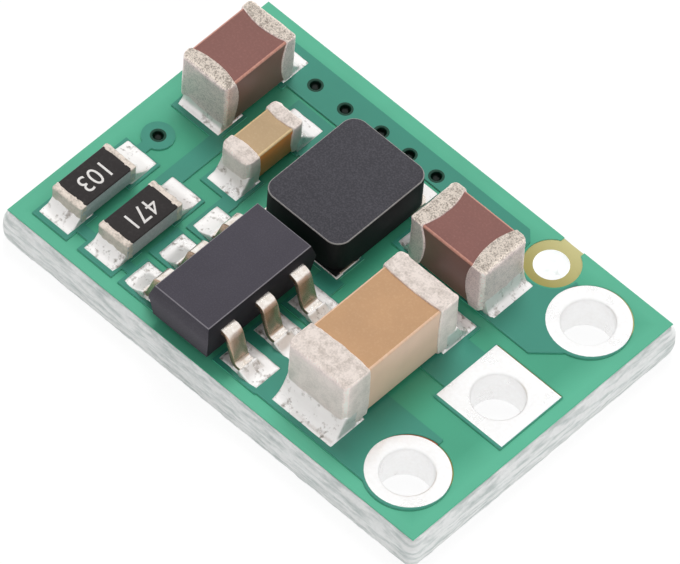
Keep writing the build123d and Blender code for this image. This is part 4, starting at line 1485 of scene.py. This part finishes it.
@dataclass
class Board:
    """The two-layer board: laminate, foils, mask, plated holes, vias and its snapped side."""

    half_length: float = 5.45
    half_width: float = 3.65
    groove_reach: float = 0.11
    lower_reach: float = 0.03
    grooves: tuple[float, float] = (0.255, 0.595)
    belt_levels: tuple[float, float] = (0.058, 0.842)
    belt_cuts: tuple[int, int, int] = (150, 100, 14)
    belt_skin: float = 0.03
    belt_waves: tuple = ((0.3, 0.03), (0.08, 0.014))
    corner: float = 0.20
    core_inset: float = 0.012
    hole_x: float = 4.28
    hole_radius: float = 0.54
    wall: float = 0.06
    land_radius: float = 0.865
    between_lands: float = 0.79
    mouth: float = 0.05
    land_edge_drop: float = 0.006
    # Radius and level of each ring of the ink over a via, from its rim down to the plug
    dimple: tuple = (
        (0.172, 0.8985), (0.158, 0.9016), (0.135, 0.9030), (0.123, 0.9022), (0.114, 0.893),
        (0.107, 0.872), (0.097, 0.838), (0.08, 0.805), (0.05, 0.785),
    )
    dimple_skin: float = 0.006
    pin_holes: tuple = (("input", -2.59, False), ("ground", -0.05, True), ("output", 2.49, False))
    vias: tuple = (
        (-3.36, 2.81), (-2.55, 2.81), (-1.67, 2.91), (-0.91, 2.91), (-0.18, 2.91), (-4.65, -0.28),
    )

    def pin_hole(self, name: str, y: float, square: bool) -> None:
        """Turns a plated hole: land, rounded mouth, wall and the land below.

        Args:
            name: The hole's name in the CAD model.
            y: Its place along the row.
            square: True for the square land.
        """
        middle, radius = (self.hole_x, y, BOARD_TOP / 2), self.land_radius
        if square:
            left, right = self.hole_x - radius, self.hole_x + radius
            plate = add_block((left, y - radius, 0.0), (right, y + radius, BOARD_TOP))
        else:
            plate = add_post(middle, radius, BOARD_TOP)
        through = 2.0
        combine(plate, add_post(middle, self.hole_radius, through), Cut.AWAY)
        # A ring-shaped cutter leaves the two lands and the thin wall between them.
        ring = add_post(middle, radius * 1.6, self.between_lands)
        combine(ring, add_post(middle, self.hole_radius + self.wall, through), Cut.AWAY)
        combine(plate, ring, Cut.AWAY)

        def off_axis(point: Vector) -> float:
            """How far a point is from the hole's axis."""
            return math.hypot(point.x - self.hole_x, point.y - y)

        skin = 0.01
        with Shaping(plate) as shape:
            shape.choose(
                Kind.EDGE,
                lambda point, direction: abs(direction.z) < ACROSS
                and off_axis(point) < self.hole_radius + skin
                and not skin <= point.z <= BOARD_TOP - skin,
            )
            shape.bevel(self.mouth, 4)
            shape.choose(
                Kind.VERTEX,
                lambda point, _: point.z > BOARD_TOP - skin and off_axis(point) > radius - 0.02,
            )
            shape.lift(-self.land_edge_drop)
        hand_over(plate, f"{name}_hole_plating", Finishes.land, (f"barrel_of_{name}_hole",), 35)

    def via_dimples(self) -> None:
        """Turns the ink's dimple over each via, and copies it to each place."""
        (radius, level), *rings = self.dimple
        bpy.ops.mesh.primitive_circle_add(vertices=40, radius=radius, location=(0, 0, level))
        dimple = settle()
        with Shaping(dimple) as shape:
            shape.everything()
            for wide, height in rings:
                bpy.ops.mesh.extrude_edges_move()
                shape.resize((wide / radius, wide / radius, 1), (0, 0, level))
                shape.lift(height - level)
                radius, level = wide, height
            bpy.ops.mesh.extrude_edges_move()
            shape.resize((0.01, 0.01, 1), (0, 0, level))
            bpy.ops.mesh.merge(type="CENTER")
            shape.face_outwards()
        use_modifier(dimple, "SOLIDIFY", thickness=self.dimple_skin, offset=-1.0)
        for number, (x, y) in enumerate(self.vias):
            copy = duplicate(dimple)
            copy.location = (x, y, 0)
            settle(copy)
            hand_over(copy, f"via_dimple_{number + 1}", Finishes.pooled_and_shaded_mask, (), 60)
        bpy.data.objects.remove(dimple)

    def snapped_side(self) -> None:
        """Models the torn glass of the board's V-grooved and snapped side as a belt."""
        reach = Vector((
            self.half_length + self.groove_reach, self.half_width + self.groove_reach, 0
        ))
        low, high = self.belt_levels
        belt = add_block(UP * low - reach, UP * high + reach)
        with Shaping(belt) as shape:
            for level in self.grooves:
                shape.slice((0, 0, level), UP)
            for level, inset in ((low, self.lower_reach), (high, self.groove_reach)):
                shape.choose(Kind.VERTEX, lies_at(level))
                shape.resize(
                    ((reach.x - inset) / reach.x, (reach.y - inset) / reach.y, 1), (0, 0, level)
                )
            shape.choose(Kind.EDGE, runs_along(UP, 0.7))
            shape.bevel(self.corner, 4)
            shape.choose(Kind.FACE, runs_along(UP))
            bpy.ops.mesh.delete(type="FACE")
            along, across, up = self.belt_cuts
            for axis, start, run, cuts in (
                (UP, low, high - low, up), (Vector((1, 0, 0)), -reach.x, 2 * reach.x, along),
                (Vector((0, 1, 0)), -reach.y, 2 * reach.y, across),
            ):
                for number in range(1, cuts):
                    shape.slice(axis * (start + run * number / cuts), axis)
        use_modifier(belt, "SOLIDIFY", thickness=self.belt_skin, offset=-1.0)
        use_modifier(belt, "SMOOTH", factor=0.5, iterations=2)
        roughen(belt, *self.belt_waves)
        hand_over(belt, "snapped_board_side", Finishes.snapped_side, (), 60)

    def core(self) -> None:
        """Trims a copy of the laminate to the snapped side, with its corners broken off."""
        core = duplicate(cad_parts["board_laminate"])
        core.scale = (1 / MM, 1 / MM, 1 / MM)
        settle(core)
        with Shaping(core) as shape:
            shape.merge_doubles()
        x, y = self.half_length - self.core_inset, self.half_width - self.core_inset
        trim = add_block((-x, -y, -0.1), (x, y, 1.0))
        with Shaping(trim) as shape:
            shape.choose(Kind.EDGE, runs_along(UP))
            shape.bevel(self.corner + 0.05, 4)
        combine(core, trim, Cut.KEEP)
        hand_over(core, "glass_epoxy_board", Finishes.laminate, ("board_laminate",), 30)

    def build(self) -> None:
        """Builds the board."""
        self.core()
        dress(Finishes.mask, "top_solder_mask", "bottom_solder_mask")
        foils = [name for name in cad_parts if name.endswith("_copper")]
        dress(Finishes.foil, *foils, "via_barrels")
        for name, y, square in self.pin_holes:
            self.pin_hole(name, y, square)
        self.via_dimples()
        self.snapped_side()


@dataclass
class Studio:
    """The pale floor, the soft light and the camera at the photograph's angle."""

    azimuth: float = 0.6991455986
    elevation: float = 0.9412874033
    roll: float = 0.0821032684
    place: tuple[float, float, float] = (86.560, -102.897, 184.974)
    lens: float = 622.997
    room: float = 0.50
    lamp_width: float = 28.0
    card_white: float = 0.86
    card_glow: float = 1.05

    def camera(self) -> None:
        """Aims a long lens from above the lower right corner."""
        back = Vector((
            math.sin(self.azimuth) * math.cos(self.elevation),
            -math.cos(self.azimuth) * math.cos(self.elevation),
            math.sin(self.elevation),
        ))
        right = UP.cross(back).normalized()
        up = back.cross(right)
        side = right * math.cos(self.roll) + up * math.sin(self.roll)
        top = up * math.cos(self.roll) - right * math.sin(self.roll)
        bpy.ops.object.camera_add()
        camera = bpy.context.active_object
        camera.name = "studio_camera"
        turn = Matrix((side, top, back)).transposed().to_4x4()
        camera.matrix_world = Matrix.Translation(Vector(self.place) * MM) @ turn
        camera.data.lens = self.lens
        camera.data.sensor_width = 36.0
        camera.data.clip_start = 0.01
        camera.data.clip_end = 10.0
        bpy.context.scene.camera = camera

    def lamps(self) -> None:
        """Hangs a broad soft lamp behind the board, to the left, and a weak one at its right."""
        for name, towards, energy in (
            ("soft_key", (-0.35, 0.45, 1.0), 1.6), ("right_fill", (1.0, -0.15, 0.35), 0.32),
        ):
            bpy.ops.object.light_add(type="SUN")
            lamp = bpy.context.active_object
            lamp.name = name
            lamp.rotation_euler = Vector(towards).to_track_quat("Z", "Y").to_euler()
            lamp.data.energy = energy
            lamp.data.angle = math.radians(self.lamp_width)
            lamp.visible_glossy = False

    def world(self) -> None:
        """Fills the room with soft light that shows as white behind the board."""
        world = bpy.data.worlds.new("studio_room")
        world.use_nodes = True
        brush = Brush(world.node_tree)
        inputs = {"Color": (1, 1, 1, 1), "Strength": brush.by_ray(self.room, 1.0)}
        sky = add_node(brush.tree, "Background", inputs).outputs[0]
        add_node(brush.tree, "OutputWorld", {"Surface": sky})
        bpy.context.scene.world = world

    def floor(self) -> None:
        """Lays a white card under the board that keeps its shadow."""
        bpy.ops.mesh.primitive_plane_add(size=2.0, location=(0, 0, -0.00002))
        card = settle()
        card.name = "studio_floor"
        paper = bpy.data.materials.new("white_card")
        paper.use_nodes = True
        brush = Brush(paper.node_tree)
        matt = add_node(brush.tree, "BsdfDiffuse", {"Color": colour("#f4f4f4")}).outputs[0]
        inputs = {"Color": (1, 1, 1, 1), "Strength": self.card_glow}
        glow = add_node(brush.tree, "Emission", inputs).outputs[0]
        inputs = {0: brush.by_ray(0.0, self.card_white), 1: matt, 2: glow}
        both = add_node(brush.tree, "MixShader", inputs).outputs[0]
        add_node(brush.tree, "OutputMaterial", {"Surface": both})
        card.data.materials.append(paper)

    def build(self) -> None:
        """Sets up the studio."""
        bpy.context.scene.view_settings.view_transform = "Standard"
        self.camera()
        self.lamps()
        self.world()
        self.floor()


def parts() -> tuple[ChipPart, ...]:
    """Lists the two-ended parts with their sizes and places."""
    resistor = {"along_y": True, "size": (1.55, 0.79, 0.40), "band": 0.24, "land": (0.79, 0.72),
                "toe": 0.46, "climb": 0.26}
    return (
        ChipCapacitor(
            "corner_capacitor",
            Seat((-4.38, 1.79), along_y=True, size=(2.0, 1.26, 1.30), band=0.44,
                 land=(1.10, 0.72), toe=0.28, drift=(-0.06, -0.08), climb=0.34),
            bulge=0.12, body=Finishes.brown, edge=Finishes.brown_edge_highlight, edge_round=0.13,
            longer=(-0.08, -0.05),
        ),
        ChipCapacitor(
            "boost_capacitor",
            Seat((-2.875, 0.845), along_y=True, size=(1.6, 0.78, 0.80), band=0.36,
                 land=(0.79, 0.70), toe=0.425, drift=(-0.01, -0.055), climb=0.38),
            bulge=0.05, body=Finishes.straw, edge=Finishes.straw_edge_highlight, edge_round=0.15,
            tin=Finishes.thick_cap_tin, grain=0.018,
        ),
        ChipCapacitor(
            "output_capacitor",
            Seat((1.67, 1.75), along_y=False, size=(2.0, 1.28, 1.30), band=0.44,
                 land=(1.12, 0.72), toe=0.28, drift=(0.05, -0.03), climb=0.55),
            bulge=0.13, body=Finishes.brown, edge=Finishes.brown_edge_highlight, edge_round=0.15,
        ),
        ChipCapacitor(
            "input_capacitor",
            Seat((2.07, -1.225), along_y=True, size=(3.2, 1.6, 1.45), band=0.60,
                 land=(1.58, 0.95), toe=0.445, drift=(-0.04, -0.015), climb=0.50),
            bulge=0.05, body=Finishes.tan, edge=Finishes.tan_edge_highlight, edge_round=0.16,
            tin=Finishes.thick_cap_tin, grain=0.024, shy=0.02, longer=(0.11, 0.0),
        ),
        ChipResistor(
            "lower_resistor", Seat((-4.585, -2.065), drift=(0.0, -0.075), **resistor), "103"
        ),
        ChipResistor(
            "upper_resistor", Seat((-3.365, -2.065), drift=(0.04, -0.075), **resistor), "471"
        ),
    )


def main() -> None:
    """Builds every sub-assembly in order and notes the sizes."""
    bpy.ops.object.select_all(action="DESELECT")
    for assembly in (Board(), *parts(), Regulator(), Choke(), Studio()):
        assembly.build()


if __name__ == "__main__":
    main()
